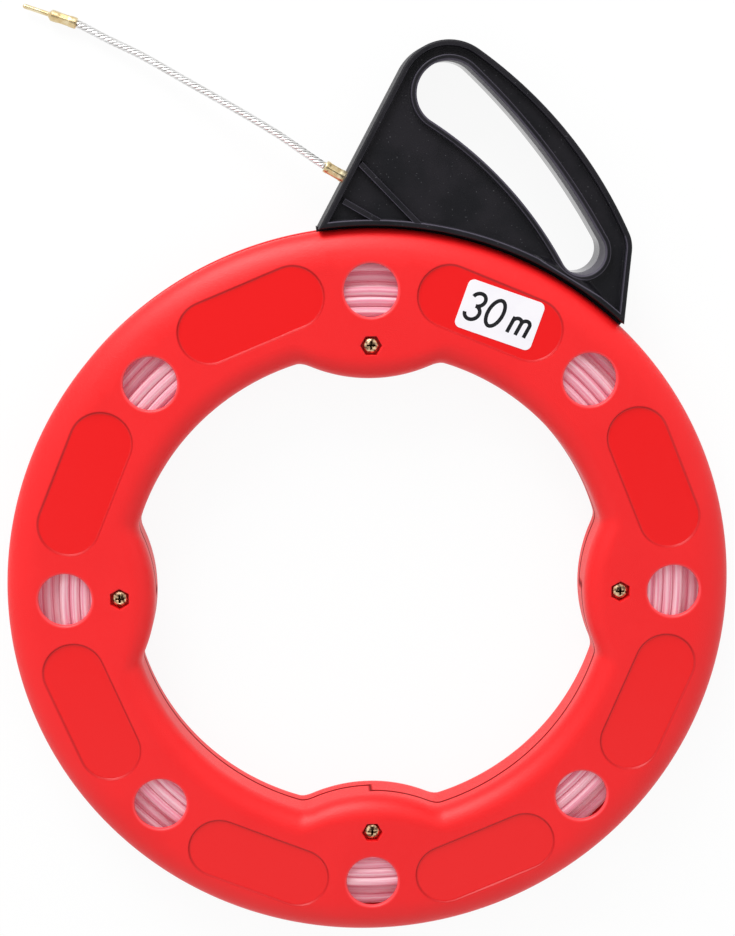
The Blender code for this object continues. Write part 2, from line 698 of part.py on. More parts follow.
def make_leader(nylon, brass, rope):
    """The tape's straight run through the handle, and the ferrule, wire leader and tip on its end."""
    start, way, mouth = tape_line()
    inner, outer = mouth - FERRULE_INSIDE, mouth + FERRULE_OUTSIDE
    run = ((0, TAPE_R), (inner - SEAT_GAP, TAPE_R))
    tape_run = add_piece("tape_run", turned(run, start, way), nylon)
    edge, body = FERRULE_EDGE, FERRULE_R
    ring = ((inner, body - edge), (inner + edge, body), (outer - edge, body), (outer, body - edge))
    ferrule = add_piece("leader_ferrule", turned(ring, start, way), brass)
    path = leader_path(start + way * (outer + SEAT_GAP))
    leader = add_tube("leader_rope", path, ROPE_R, ROPE_RESOLUTION, rope)
    tip_start = path[-1] + heading(TIP_HEADING) * SEAT_GAP
    needle = TIP_LENGTH + NEEDLE_LENGTH
    profile = [(0, TIP_R - edge), (edge, TIP_R), (TIP_LENGTH - edge, TIP_R), (TIP_LENGTH, TIP_R - edge)]
    profile += [(TIP_LENGTH, NEEDLE_R), (needle - NEEDLE_R, NEEDLE_R), (needle, NEEDLE_R / 2)]
    tip = add_piece("leader_tip", turned(profile, tip_start, heading(TIP_HEADING)), brass)
    return [tape_run, ferrule, leader, tip]


def add_carrier(name):
    """An empty on the reel's axis at the mid-plane, with the whole object centred on its footprint."""
    reach = off_rim(GRIP_END_ANGLE, GRIP_END_STANDOFF).y + GRIP_END_R
    carrier = bpy.data.objects.new(name, None)
    carrier.location = (0, -(reach - CASE_R) / 2, HALF)
    bpy.context.scene.collection.objects.link(carrier)
    return carrier


def main():
    """Builds the reel, the handle and the tape's free end, each on its carrier."""
    clear_scene()
    red = finish("casing_red", (0.80, 0.03, 0.03), 0.5)
    black = finish("handle_black", (0.015, 0.015, 0.018), 0.55)
    nylon = finish("nylon_white", (0.85, 0.82, 0.82), 0.35)
    brass = finish("brass", (0.78, 0.57, 0.22), 0.3, 1.0)
    rope = finish("steel_rope", (0.62, 0.62, 0.63), 0.35, 1.0)
    zinc = finish("yellow_zinc", (0.66, 0.50, 0.20), 0.35, 1.0)
    steel = finish("screw_steel", (0.45, 0.45, 0.46), 0.35, 1.0)
    reel = add_carrier("reel_axis")
    for piece in make_shells(red) + make_casing_screws(zinc) + make_coil(nylon, brass):
        hang(piece, reel)
    handle = add_carrier("handle_seat")
    for name, side in (("handle_front", 1), ("handle_rear", -1)):
        hang(make_handle_half(name, side, black), handle)
    for piece in make_handle_screws(steel):
        hang(piece, handle)
    lead = add_carrier("tape_lead")
    for piece in make_leader(nylon, brass, rope):
        hang(piece, lead)


if __name__ == "__main__":
    main()
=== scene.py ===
"""Looks of the ring-shaped fish tape reel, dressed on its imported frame, in metres."""

import json
import logging
import math
from collections.abc import Sequence
from dataclasses import dataclass
from enum import Enum
from functools import cached_property

import bmesh
import bpy
import numpy as np
from mathutils import Matrix, Vector


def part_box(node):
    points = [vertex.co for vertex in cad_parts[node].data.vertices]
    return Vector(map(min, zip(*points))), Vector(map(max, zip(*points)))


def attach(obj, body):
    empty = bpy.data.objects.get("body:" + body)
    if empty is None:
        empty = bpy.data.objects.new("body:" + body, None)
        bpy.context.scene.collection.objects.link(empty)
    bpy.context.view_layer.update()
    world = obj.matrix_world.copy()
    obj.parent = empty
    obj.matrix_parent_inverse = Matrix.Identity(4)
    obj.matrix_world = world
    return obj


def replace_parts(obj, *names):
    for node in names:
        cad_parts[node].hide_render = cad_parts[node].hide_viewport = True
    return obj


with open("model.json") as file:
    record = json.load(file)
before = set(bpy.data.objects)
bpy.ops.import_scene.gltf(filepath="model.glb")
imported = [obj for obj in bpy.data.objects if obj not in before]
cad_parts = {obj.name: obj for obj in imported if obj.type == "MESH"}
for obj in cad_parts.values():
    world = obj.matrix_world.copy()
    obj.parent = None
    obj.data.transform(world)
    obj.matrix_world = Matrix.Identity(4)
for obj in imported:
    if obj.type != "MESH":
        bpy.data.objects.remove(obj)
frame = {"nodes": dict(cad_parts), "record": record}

Array = np.ndarray
Pair = tuple[float, float]
Colour = tuple[float, float, float, float]
Inputs = dict[str | int, "Sock | float | Colour"]
LOG = logging.getLogger("reel")
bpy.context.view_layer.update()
JOINTS = {joint["name"]: joint for joint in frame["record"]["behaviour"]["joints"]}
AXIS = np.array(JOINTS["reel_spin"]["pos_m"], float)
UP = np.array([0.0, 0.0, 1.0])
FACING = {"front": 1.0, "rear": -1.0}
TINY = 1e-6
QUARTER = 90.0

# Where the tape leaves the coil, and its heading there, in degrees.
TANGENT_ANGLE = 60.0
TANGENT_R = 0.1375
HEADING = TANGENT_ANGLE + QUARTER

# How far a small rounded edge's middle lies from its two faces, as a share of its radius.
MID_ROUND = 0.3

# Edges that turn by more degrees than this stay sharp.
FACE_SHARP = 40.0
ROUND_SHARP = 60.0

# The distance along the tape that counts as one unit of its streaks.
STREAK_LENGTH = 0.15
NOISE_MEAN = 0.5


class Body(Enum):
    """The frame's bodies."""

    HANDLE = "handle"
    REEL = "reel"
    LEAD = "tape_lead"


class Slot(Enum):
    """The record's material slots."""

    CASING = "casing"
    HANDLE = "handle"
    TAPE = "tape"
    BRASS = "brass"
    LEADER = "leader"
    CASING_FASTENER = "casing_fastener"
    HANDLE_FASTENER = "handle_fastener"


def polar(angle: Array | float, radius: Array | float) -> Array:
    """Points of the reel's plane at angles in degrees and radii.

    Args:
        angle: Angles round the reel's axis.
        radius: Distances from it.

    Returns:
        The points, with x and y along the last axis.
    """
    turn = np.radians(angle)
    return np.stack(np.broadcast_arrays(radius * np.cos(turn), radius * np.sin(turn)), axis=-1)


def full_turn(sides: int) -> Array:
    """Evenly spaced angles round a circle, in degrees."""
    return np.linspace(0, 360, sides, endpoint=False)


def bearing(way: Array) -> Array | float:
    """The direction of plane vectors, in degrees."""
    return np.degrees(np.arctan2(way[..., 1], way[..., 0]))


def hexagon(turn: Array) -> Array:
    """The reach of a hexagon whose flats lie one from its middle, at angles from a flat's middle."""
    return 1 / np.cos(np.radians((turn + 30) % 60 - 30))


def arc(centre: Array, radius: float, start: float, end: float, count: int) -> Array:
    """Evenly spaced points of an arc between two angles in degrees.

    Args:
        centre: The arc's centre.
        radius: Its radius.
        start: First angle.
        end: Last angle.
        count: Number of points.

    Returns:
        The points, as rows of x and y.
    """
    return centre + polar(np.linspace(start, end, count), radius)


def bulged(start: Array, end: Array, rise: float, count: int) -> Array:
    """Points of an arc between two ends that stands off their chord, to its right, by the rise.

    Args:
        start: First end.
        end: Last end.
        rise: Greatest distance from the chord, negative to its left.
        count: Number of points.

    Returns:
        The points, as rows of x and y.
    """
    chord = end - start
    length = math.hypot(*chord)
    right = np.array([chord[1], -chord[0]]) / length
    radius = ((length / 2) ** 2 + rise**2) / (2 * abs(rise))
    centre = (start + end) / 2 + right * (rise - math.copysign(radius, rise))
    first, last = start - centre, end - centre
    sweep = math.degrees(math.atan2(first[0] * last[1] - first[1] * last[0], first @ last))
    begin = bearing(first)
    return arc(centre, radius, begin, begin + sweep, count)


def bulge_turn(start: Array, end: Array, rise: float) -> float:
    """Degrees by which a bulged edge turns away from its chord at each end."""
    return math.degrees(2 * math.atan2(2 * rise, math.hypot(*(end - start))))


def distances(path: Array) -> Array:
    """The distance along a path to each of its points."""
    return np.append(0, np.cumsum(np.linalg.norm(np.diff(path, axis=0), axis=1)))


def edge_ways(line: Array) -> Array:
    """The unit direction of each edge of a line."""
    ahead = np.diff(line, axis=0)
    return ahead / np.hypot(*ahead.T)[:, None]


def moved(lines: Sequence[Array], cells: Sequence[int], distance: Array | float) -> Array:
    """A closed outline of several stretches, moved to its right, or to its left by a negative distance.

    Each stretch is moved square to itself. At a sharp corner that it moves away from, it is first
    shortened by the distance times the tangent of half the corner's turn, so that moved stretches meet.

    Args:
        lines: The stretches, counter-clockwise, each ending where the next begins.
        cells: Steps in each stretch.
        distance: One distance, or one for each point.

    Returns:
        The points, without the last point of each stretch.
    """
    sharp_turn = math.radians(20)
    distance = np.broadcast_to(distance, sum(cells))
    inward = max(-distance.min(), 0.0)
    first, last = [edge_ways(line)[0] for line in lines], [edge_ways(line)[-1] for line in lines]
    turns = [math.acos(min(1.0, float(a @ b))) for a, b in zip([last[-1], *last[:-1]], first)]
    trims = [inward * math.tan(turn / 2) if turn > sharp_turn else 0.0 for turn in turns]
    points = []
    for index, (line, count) in enumerate(zip(lines, cells)):
        ways = edge_ways(line)
        ways = np.vstack([ways[:1], (ways[1:] + ways[:-1]) / 2, ways[-1:]])
        run = distances(line)
        at = np.linspace(trims[index], run[-1] - trims[(index + 1) % len(lines)], count + 1)[:-1]
        spot = np.stack([np.interp(at, run, column) for column in line.T], axis=1)
        side = np.stack([np.interp(at, run, ways[:, 1]), -np.interp(at, run, ways[:, 0])], axis=1)
        start = sum(cells[:index])
        points.append(spot + side * distance[start : start + count, None])
    return np.vstack(points)


def smooth(low: float, high: float, value: Array) -> Array:
    """A smooth step from 0 at the low value to 1 at the high one."""
    share = np.clip((value - low) / (high - low), 0, 1)
    return share * share * (3 - 2 * share)


def lifted(points: Array, z: Array | float) -> Array:
    """Plane points with their heights beside them."""
    return np.concatenate([points, np.broadcast_to(z, points.shape[:-1])[..., None]], axis=-1)


def between(first: Array, last: Array, shares: Sequence[float]) -> Array:
    """Rows of points at shares of the way from a first row to a last one."""
    return first + (last - first) * np.array(shares)[:, None, None]


def path_frames(path: Array) -> tuple[Array, Array]:
    """Two directions square to a path that is never upright: one level, one raised.

    Args:
        path: Rows of points.

    Returns:
        The level directions and the raised ones.
    """
    along = np.gradient(path, axis=0)
    along /= np.linalg.norm(along, axis=1)[:, None]
    level = np.cross(along, UP)
    level /= np.linalg.norm(level, axis=1)[:, None]
    return level, np.cross(level, along)


def tube_rows(path: Array, radius: float, sides: int, flat: float = 1.0) -> Array:
    """A circle carried along a path, with its height times the flatness.

    Args:
        path: Rows of points.
        radius: The circle's radius.
        sides: Points round it.
        flat: Height of the section over its width.

    Returns:
        Rows of points, one row for each point of the path.
    """
    level, raised = path_frames(path)
    across, rise = polar(full_turn(sides), radius).T[:, None, :, None]
    return path[:, None] + across * level[:, None] + flat * rise * raised[:, None]


def mark_tape(piece: bpy.types.Object, path: Array, sides: int) -> None:
    """Write each point's direction to the tape's middle and distance along it, so that streaks follow it.

    Args:
        piece: A tube whose points run round the path, ring after ring.
        path: The tape's centre line.
        sides: Points in each ring.
    """
    run = distances(path) / STREAK_LENGTH
    inward = np.broadcast_to(-polar(full_turn(sides), 1.0), (len(run), sides, 2))
    value = lifted(inward, run[:, None]).astype(np.float32)
    layer = piece.data.attributes.new("tape", "FLOAT_VECTOR", "POINT")
    layer.data.foreach_set("vector", value.ravel())


class Skin:
    """Gathers grids of points into the faces of one closed mesh."""

    WELD = 2e-7

    def __init__(self) -> None:
        """Start with no points."""
        self.points: list[Array] = []
        self.faces: list[list[int]] = []
        self.light_shade_marks: list[Array] = []
        self.count = 0

    def grid(self, rows: Array, ring: bool = True, light_shade_mark: Array | float = 0.0) -> None:
        """Join each row of points to the next with quads.

        Args:
            rows: Points by row and column.
            ring: Whether each row's last point joins its first.
            light_shade_mark: Value of the attribute edge at each point, or in each row as one column; it
                carries painted highlights and painted shade.
        """
        height, width = rows.shape[:2]
        index = np.arange(height * width).reshape(height, width) + self.count
        if ring:
            index = np.hstack([index, index[:, :1]])
        quads = np.stack([index[:-1, :-1], index[:-1, 1:], index[1:, 1:], index[1:, :-1]], axis=-1)
        self.points.append(rows.reshape(-1, 3))
        # The marks are painted highlights and painted shade, which the finishes blend in as colour.
        self.light_shade_marks.append(np.broadcast_to(light_shade_mark, (height, width)).ravel())
        self.faces += quads.reshape(-1, 4).tolist()
        self.count += height * width

    def cap(self, ring: Array) -> None:
        """Close a ring of points with one face.

        Args:
            ring: The points.
        """
        self.points.append(ring)
        self.light_shade_marks.append(np.zeros(len(ring)))
        self.faces.append(list(range(self.count, self.count + len(ring))))
        self.count += len(ring)

    def tube(self, rows: Array, light_shade_mark: Array | float = 0.0) -> None:
        """Join rows into a tube and close both ends on its own points, which so keep their order.

        Args:
            rows: Points by row and column.
            light_shade_mark: Value of the attribute edge at each point; it carries painted highlights and
                painted shade.
        """
        start, width = self.count, rows.shape[1]
        self.grid(rows, light_shade_mark=light_shade_mark)
        self.faces += [list(range(first, first + width)) for first in (start, self.count - width)]

    def mesh(self, name: str) -> bpy.types.Mesh:
        """Weld the grids into one mesh whose faces point outwards.

        Args:
            name: The mesh's name.

        Returns:
            The mesh, with the attribute edge, which carries painted highlights and painted shade.
        """
        mesh = bpy.data.meshes.new(name)
        mesh.from_pydata(np.concatenate(self.points).tolist(), [], self.faces)
        light_shade_marks = np.concatenate(self.light_shade_marks).astype(np.float32)
        mesh.attributes.new("edge", "FLOAT", "POINT").data.foreach_set("value", light_shade_marks)
        bm = bmesh.new()
        bm.from_mesh(mesh)
        bmesh.ops.remove_doubles(bm, verts=bm.verts, dist=self.WELD)
        bmesh.ops.dissolve_degenerate(bm, edges=bm.edges, dist=self.WELD)
        bmesh.ops.recalc_face_normals(bm, faces=bm.faces)
        bm.to_mesh(mesh)
        bm.free()
        return mesh

    def piece(
        self, name: str, body: Body, slot: Slot, finish: "Finish", sharp: float = FACE_SHARP
    ) -> bpy.types.Object:
        """Make an object that rides on a body.

        Args:
            name: The object's name.
            body: The body that carries it.
            slot: The record's slot for its finish; not used.
            finish: Its finish.
            sharp: Edges that turn by more than this many degrees stay sharp.

        Returns:
            The object, in place, with its mesh smooth.
        """
        mesh = self.mesh(name)
        mesh.shade_smooth()
        mesh.set_sharp_from_angle(angle=math.radians(sharp))
        mesh.materials.append(finish.material())
        piece = bpy.data.objects.new(name, mesh)
        bpy.context.scene.collection.objects.link(piece)
        weights = piece.modifiers.new("even_shading", "WEIGHTED_NORMAL")
        weights.keep_sharp = True
        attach(piece, body.value)
        LOG.info("%s: %d faces", name, len(mesh.polygons))
        return piece


class Sock:
    """A shader value that takes part in Python arithmetic: each operator adds a Math node."""

    def __init__(self, tree: "Tree", socket: bpy.types.NodeSocket) -> None:
        """Wrap one output socket of a tree."""
        self.tree = tree
        self.socket = socket

    def math(self, operation: str, first: "Sock | float", second: "Sock | float") -> "Sock":
        """One operation on two values."""
        return self.tree.add("ShaderNodeMath", {"operation": operation}, {0: first, 1: second})

    def __add__(self, other: "Sock | float") -> "Sock":
        """The sum."""
        return self.math("ADD", self, other)

    def __sub__(self, other: "Sock | float") -> "Sock":
        """The difference."""
        return self.math("SUBTRACT", self, other)

    def __rsub__(self, other: float) -> "Sock":
        """A number less this value."""
        return self.math("SUBTRACT", other, self)

    def __mul__(self, other: "Sock | float") -> "Sock":
        """The product."""
        return self.math("MULTIPLY", self, other)

    def __or__(self, other: "Sock") -> "Sock":
        """The greater of two values."""
        return self.math("MAXIMUM", self, other)

    __radd__ = __add__
    __rmul__ = __mul__
    __ror__ = __or__

    def above(self, low: float, high: float) -> "Sock":
        """A smooth step from 0 at the low value to 1 at the high one."""
        sockets = {"Value": self, "From Min": low, "From Max": high}
        return self.tree.add("ShaderNodeMapRange", {"interpolation_type": "SMOOTHSTEP"}, sockets)


class Tree:
    """The nodes of a material or a world."""

    def __init__(self, owner: bpy.types.Material | bpy.types.World) -> None:
        """Take over the nodes that a new material or world starts with.

        Args:
            owner: The material or world.
        """
        owner.use_nodes = True
        self.owner = owner
        self.nodes = owner.node_tree.nodes
        self.links = owner.node_tree.links

    @cached_property
    def place(self) -> Sock:
        """Object coordinates."""
        return self.add("ShaderNodeTexCoord", {}, {}, "Object")

    def add(self, kind: str, settings: dict[str, str], sockets: Inputs, output: str | int = 0) -> Sock:
        """Add a node of any type.

        Args:
            kind: The node's type.
            settings: Its own settings, set first.
            sockets: Values or links of its inputs, by name or place.
            output: The output that is wanted.

        Returns:
            That output.
        """
        node = self.nodes.new(kind)
        for key, value in settings.items():
            setattr(node, key, value)
        self.feed(node, sockets)
        return Sock(self, node.outputs[output])

    def feed(self, node: bpy.types.Node, sockets: Inputs) -> None:
        """Link values to a node's inputs, or set numbers and colours on them.

        Args:
            node: The node.
            sockets: Its inputs' values, by name or place.
        """
        for key, value in sockets.items():
            if isinstance(value, Sock):
                self.links.new(value.socket, node.inputs[key])
            else:
                node.inputs[key].default_value = value

    def given(self, name: str, sockets: Inputs) -> Sock:
        """Feed a shader that a new tree starts with.

        Args:
            name: Its name.
            sockets: Its inputs' values, by name.

        Returns:
            The shader.
        """
        self.feed(self.nodes[name], sockets)
        return Sock(self, self.nodes[name].outputs[0])

    def shade(self, **values: "Sock | float | Colour") -> Sock:
        """Feed the Principled shader's inputs, named with underscores for spaces."""
        return self.given("Principled BSDF", {key.replace("_", " "): value for key, value in values.items()})

    def noise(self, scale: float, detail: float = 2.0, vector: Sock | None = None) -> Sock:
        """Noise from 0 to 1, on Object coordinates in cycles for each metre, or on another vector."""
        sockets = {"Vector": vector or self.place, "Scale": scale, "Detail": detail}
        return self.add("ShaderNodeTexNoise", {}, sockets, "Fac")

    def blend(self, share: Sock, first: "Sock | Colour", second: "Sock | Colour") -> Sock:
        """Two colours mixed by a share."""
        return self.add("ShaderNodeMix", {"data_type": "RGBA"}, {0: share, 6: first, 7: second}, 2)

    def mask(self, name: str) -> Sock:
        """A mesh attribute's value."""
        return self.add("ShaderNodeAttribute", {"attribute_name": name}, {}, "Fac")

    def bump(self, height: Sock, distance: float) -> Sock:
        """A normal bent by a height, which a distance in metres scales."""
        return self.add("ShaderNodeBump", {}, {"Height": height, "Distance": distance, "Strength": 1.0})

    def shown(self) -> Sock:
        """A share that is 1 for rays that show the background: from the camera, mirrored or passed on.

        Returns:
            The share.
        """
        rays = ("Is Camera Ray", "Is Glossy Ray", "Is Transmission Ray")
        camera, glossy, passed = (self.add("ShaderNodeLightPath", {}, {}, ray) for ray in rays)
        return camera | glossy | passed

    def mix_out(self, share: Sock, first: Sock, second: Sock) -> None:
        """Mix two shaders by a share into the output.

        Args:
            share: The second shader's share.
            first: The first shader.
            second: The second one.
        """
        mixed = self.add("ShaderNodeMixShader", {}, {0: share, 1: first, 2: second})
        output = next(node for node in self.nodes if node.type.startswith("OUTPUT"))
        self.feed(output, {"Surface": mixed})


def rgb(red: float, green: float, blue: float) -> Colour:
    """A solid colour with its alpha."""
    return (red, green, blue, 1.0)


@dataclass(frozen=True)
class Finish:
    """A surface finish: a colour with soft patches of a second shade, gloss, fine grain, and a colour for the
    highlights and shade painted where the attribute edge marks.
    """

    name: str
    colour: Colour
    shade: Colour
    roughness: float
    patch_scale: float
    grain_scale: float
    grain_height: float
    metallic: float = 0.0
    specular: float = 0.5
    # The colour painted where the attribute edge marks: painted highlights on some finishes, painted shade on
    # others.
    light_shade_colour: Colour = rgb(0.0, 0.0, 0.0)
    patch_detail: float = 3.0
    patch_range: tuple[float, float] = (0.35, 0.65)
    patch_gloss: float = 0.06
    grain_gloss: float = 0.12

    def material(self) -> bpy.types.Material:
        """The finish's material, made once."""
        return bpy.data.materials.get(self.name) or self.build().owner

    def new_tree(self) -> Tree:
        """The nodes of a new material with the finish's name."""
        return Tree(bpy.data.materials.new(self.name))

    def patches(self, tree: Tree) -> Sock:
        """The share of the second shade."""
        return tree.noise(self.patch_scale, self.patch_detail).above(*self.patch_range)

    def build(self) -> Tree:
        """Mix the two shades in soft patches, paint the highlights and shade that the attribute edge marks,
        and bend the normal by a fine grain.

        Returns:
            The new material's nodes.
        """
        tree = self.new_tree()
        patches, grain = self.patches(tree), tree.noise(self.grain_scale)
        face = tree.blend(patches, self.colour, self.shade)
        tree.shade(
            Base_Color=tree.blend(tree.mask("edge"), face, self.light_shade_colour),
            Roughness=self.roughness + self.grain_gloss * (grain - NOISE_MEAN) + self.patch_gloss * patches,
            Metallic=self.metallic,
            Specular_IOR_Level=self.specular,
            Normal=tree.bump(grain, self.grain_height),
        )
        return tree


@dataclass(frozen=True)
class MouldedRed(Finish):
    """Fine-textured red plastic with polished pads painted a little darker for their reflection of dark
    surroundings, painted highlights on the window edges, and painted shade in the pads' edge creases and the
    parting gap.
    """

    # The pads' darker colour is painted shade: it stands in for the dark surroundings that their polish
    # reflects.
    pad_shaded_colour: Colour = rgb(0.75, 0.004, 0.005)
    # Painted highlight on the windows' rounded rims.
    light_shade_colour: Colour = rgb(0.90, 0.07, 0.08)
    # Painted shade in the parting gap at the bore.
    gap_shade_colour: Colour = rgb(0.20, 0.001, 0.002)
    # Painted shade in the crease along each pad's edge.
    crease_shade_colour: Colour = rgb(0.52, 0.004, 0.006)
    pad_roughness: float = 0.28
    pad_polish: float = 0.85
    grain_gloss: float = 0.14

    def build(self) -> Tree:
        """Paint the pads darker, highlights on the window edges and shade in the pads' edge creases and the
        parting gap, all by the mesh's attributes, and smooth the grain on the pads.

        Returns:
            The new material's nodes.
        """
        tree = self.new_tree()
        pad, gap = tree.mask("pad"), tree.mask("gap")
        patches, grain = self.patches(tree), tree.noise(self.grain_scale)
        textured = 1 - self.pad_polish * pad
        face = tree.blend(pad, tree.blend(patches, self.colour, self.shade), self.pad_shaded_colour)
        face = tree.blend(tree.mask("edge"), face, self.light_shade_colour)
        face = tree.blend(tree.mask("crease_shade"), face, self.crease_shade_colour)
        rough = self.roughness + self.grain_gloss * (grain - NOISE_MEAN) * textured
        tree.shade(
            Base_Color=tree.blend(gap, face, self.gap_shade_colour),
            Roughness=rough + (self.pad_roughness - self.roughness) * pad + (1 - self.roughness) * gap,
            Specular_IOR_Level=self.specular,
            Normal=tree.bump(grain * textured, self.grain_height),
        )
        return tree


@dataclass(frozen=True)
class MouldedBlack(Finish):
    """Black plastic with painted highlights on its edges, a polished grip wall with a painted reflection, and
    a little dust.
    """

    # Paler purple-grey painted where the attribute edge marks: painted highlights on the lips, collar and
    # ribs, and a painted reflection on the grip wall.
    light_shade_colour: Colour = rgb(0.09, 0.08, 0.11)
    dust_colour: Colour = rgb(0.05, 0.05, 0.055)
    dust_scale: float = 1500.0
    dust_range: tuple[float, float] = (0.78, 0.84)
    wall_roughness: float = 0.10
    wall_range: tuple[float, float] = (0.55, 0.60)
    joint_soft: float = 0.0003

    def build(self) -> Tree:
        """Paint highlights on the marked edges and a reflection on the marked walls, polish those walls below
        the joint, and strew specks where noise peaks.

        Returns:
            The new material's nodes.
        """
        tree = self.new_tree()
        # The attribute edge carries the painted highlights and the grip wall's painted reflection.
        edge = tree.mask("edge")
        patches, grain = self.patches(tree), tree.noise(self.grain_scale)
        dust = tree.noise(self.dust_scale, 0.0).above(*self.dust_range)
        face = tree.blend(edge, tree.blend(patches, self.colour, self.shade), self.light_shade_colour)
        height = tree.add("ShaderNodeSeparateXYZ", {}, {0: tree.place}, "Z")
        upper = height.above(AXIS[2] - self.joint_soft, AXIS[2])
        textured = 1 - edge.above(*self.wall_range) * (1 - upper)
        rough = self.roughness + self.grain_gloss * (grain - NOISE_MEAN) + self.patch_gloss * patches
        tree.shade(
            Base_Color=tree.blend(dust, face, self.dust_colour),
            Roughness=self.wall_roughness + (rough - self.wall_roughness) * textured,
            Specular_IOR_Level=self.specular,
            Normal=tree.bump(grain * textured, self.grain_height),
        )
        return tree


@dataclass(frozen=True)
class Nylon(Finish):
    """Milky nylon that light soaks into, with clouds drawn out along the tape."""

    patch_range: tuple[float, float] = (0.34, 0.66)
    patch_gloss: float = 0.2
    scatter: float = 0.4
    scatter_depth: float = 0.0016
    scatter_radius: tuple[float, float, float] = (1.0, 0.7, 0.7)

    def along(self, tree: Tree) -> Sock:
        """The tape attribute: the direction to the tape's middle and the distance along it."""
        return tree.add("ShaderNodeAttribute", {"attribute_name": "tape"}, {}, "Vector")

    def build(self) -> Tree:
        """Streak the two shades by noise on the tape attribute, and scatter light under the surface.

        Returns:
            The new material's nodes.
        """
        tree = self.new_tree()
        streak = tree.noise(self.patch_scale, self.patch_detail, self.along(tree))
        tree.shade(
            Base_Color=tree.blend(streak.above(*self.patch_range), self.colour, self.shade),
            Roughness=self.roughness + self.patch_gloss * (streak - NOISE_MEAN),
            Subsurface_Weight=self.scatter,
            Subsurface_Scale=self.scatter_depth,
            Subsurface_Radius=self.scatter_radius,
            Normal=tree.bump(tree.noise(self.grain_scale), self.grain_height),
        )
        return tree


@dataclass(frozen=True)
class WoundNylon(Nylon):
    """Nylon in the casing, with a painted glow for the red light that the layers pass on to the turns."""

    # Painted light: a glow for red light passed on through the layers.
    glow: Colour = rgb(0.19, 0.036, 0.053)
    underside_range: tuple[float, float] = (-0.1, 0.8)

    def build(self) -> Tree:
        """Add a faint painted glow for the red light that the layers pass on, which fades on the turns'
        undersides, whose middle lies above them.

        Returns:
            The new material's nodes.
        """
        tree = super().build()
        upward = tree.add("ShaderNodeSeparateXYZ", {}, {0: self.along(tree)}, "Y")
        under = upward.above(*self.underside_range)
        tree.shade(Emission_Color=tree.blend(1 - under, rgb(0.0, 0.0, 0.0), self.glow), Emission_Strength=1.0)
        return tree


RED = MouldedRed(
    name="red_plastic",
    colour=rgb(0.79, 0.008, 0.010),
    shade=rgb(0.76, 0.006, 0.008),
    roughness=0.42,
    patch_scale=22,
    grain_scale=2600,
    grain_height=0.00010,
    specular=0.38,
)
BLACK = MouldedBlack(
    name="black_plastic",
    colour=rgb(0.004, 0.004, 0.006),
    shade=rgb(0.008, 0.007, 0.010),
    roughness=0.46,
    patch_scale=60,
    grain_scale=2200,
    grain_height=0.00008,
    specular=0.22,
)
NYLON = Nylon(
    name="nylon",
    colour=rgb(0.88, 0.82, 0.83),
    shade=rgb(0.80, 0.70, 0.73),
    roughness=0.32,
    patch_scale=2.6,
    grain_scale=900,
    grain_height=0.00003,
)
# The wound tape is painted pinker and darker than the plain nylon: painted light of the red casing, passed on
# through the layers.
WOUND_NYLON = WoundNylon(
    name="wound_nylon",
    colour=rgb(0.61, 0.46, 0.49),
    shade=rgb(0.53, 0.20, 0.27),
    roughness=0.34,
    patch_scale=2.6,
    grain_scale=900,
    grain_height=0.00003,
)
BRASS = Finish(
    name="turned_brass",
    colour=rgb(0.82, 0.72, 0.48),
    shade=rgb(0.66, 0.50, 0.26),
    roughness=0.26,
    patch_scale=320,
    grain_scale=2600,
    grain_height=0.00003,
    metallic=1.0,
)
STEEL_WIRE = Finish(
    name="steel_wire",
    colour=rgb(0.84, 0.84, 0.84),
    shade=rgb(0.70, 0.69, 0.68),
    roughness=0.30,
    patch_scale=420,
    grain_scale=3000,
    grain_height=0.00002,
    metallic=1.0,
    # Painted shade in the grooves between the wire's strands.
    light_shade_colour=rgb(0.17, 0.17, 0.17),
)
ZINC = Finish(
    name="zinc_plate",
    colour=rgb(0.86, 0.60, 0.36),
    shade=rgb(0.15, 0.085, 0.05),
    roughness=0.20,
    patch_scale=900,
    grain_scale=3200,
    grain_height=0.00002,
    metallic=1.0,
    # Painted shade in the screw heads' cross recesses.
    light_shade_colour=rgb(0.02, 0.012, 0.006),
)
STEEL = Finish(
    name="plain_steel",
    colour=rgb(0.50, 0.50, 0.51),
    shade=rgb(0.38, 0.38, 0.39),
    roughness=0.34,
    patch_scale=600,
    grain_scale=3000,
    grain_height=0.00002,
    metallic=1.0,
)
PAPER = Finish(
    name="sticker_paper",
    colour=rgb(0.80, 0.78, 0.81),
    shade=rgb(0.77, 0.75, 0.79),
    roughness=0.38,
    patch_scale=90,
    grain_scale=1800,
    grain_height=0.00001,
)
INK = Finish(
    name="sticker_ink",
    colour=rgb(0.008, 0.008, 0.010),
    shade=rgb(0.014, 0.014, 0.016),
    roughness=0.60,
    patch_scale=200,
    grain_scale=2400,
    grain_height=0.00001,
    specular=0.1,
)


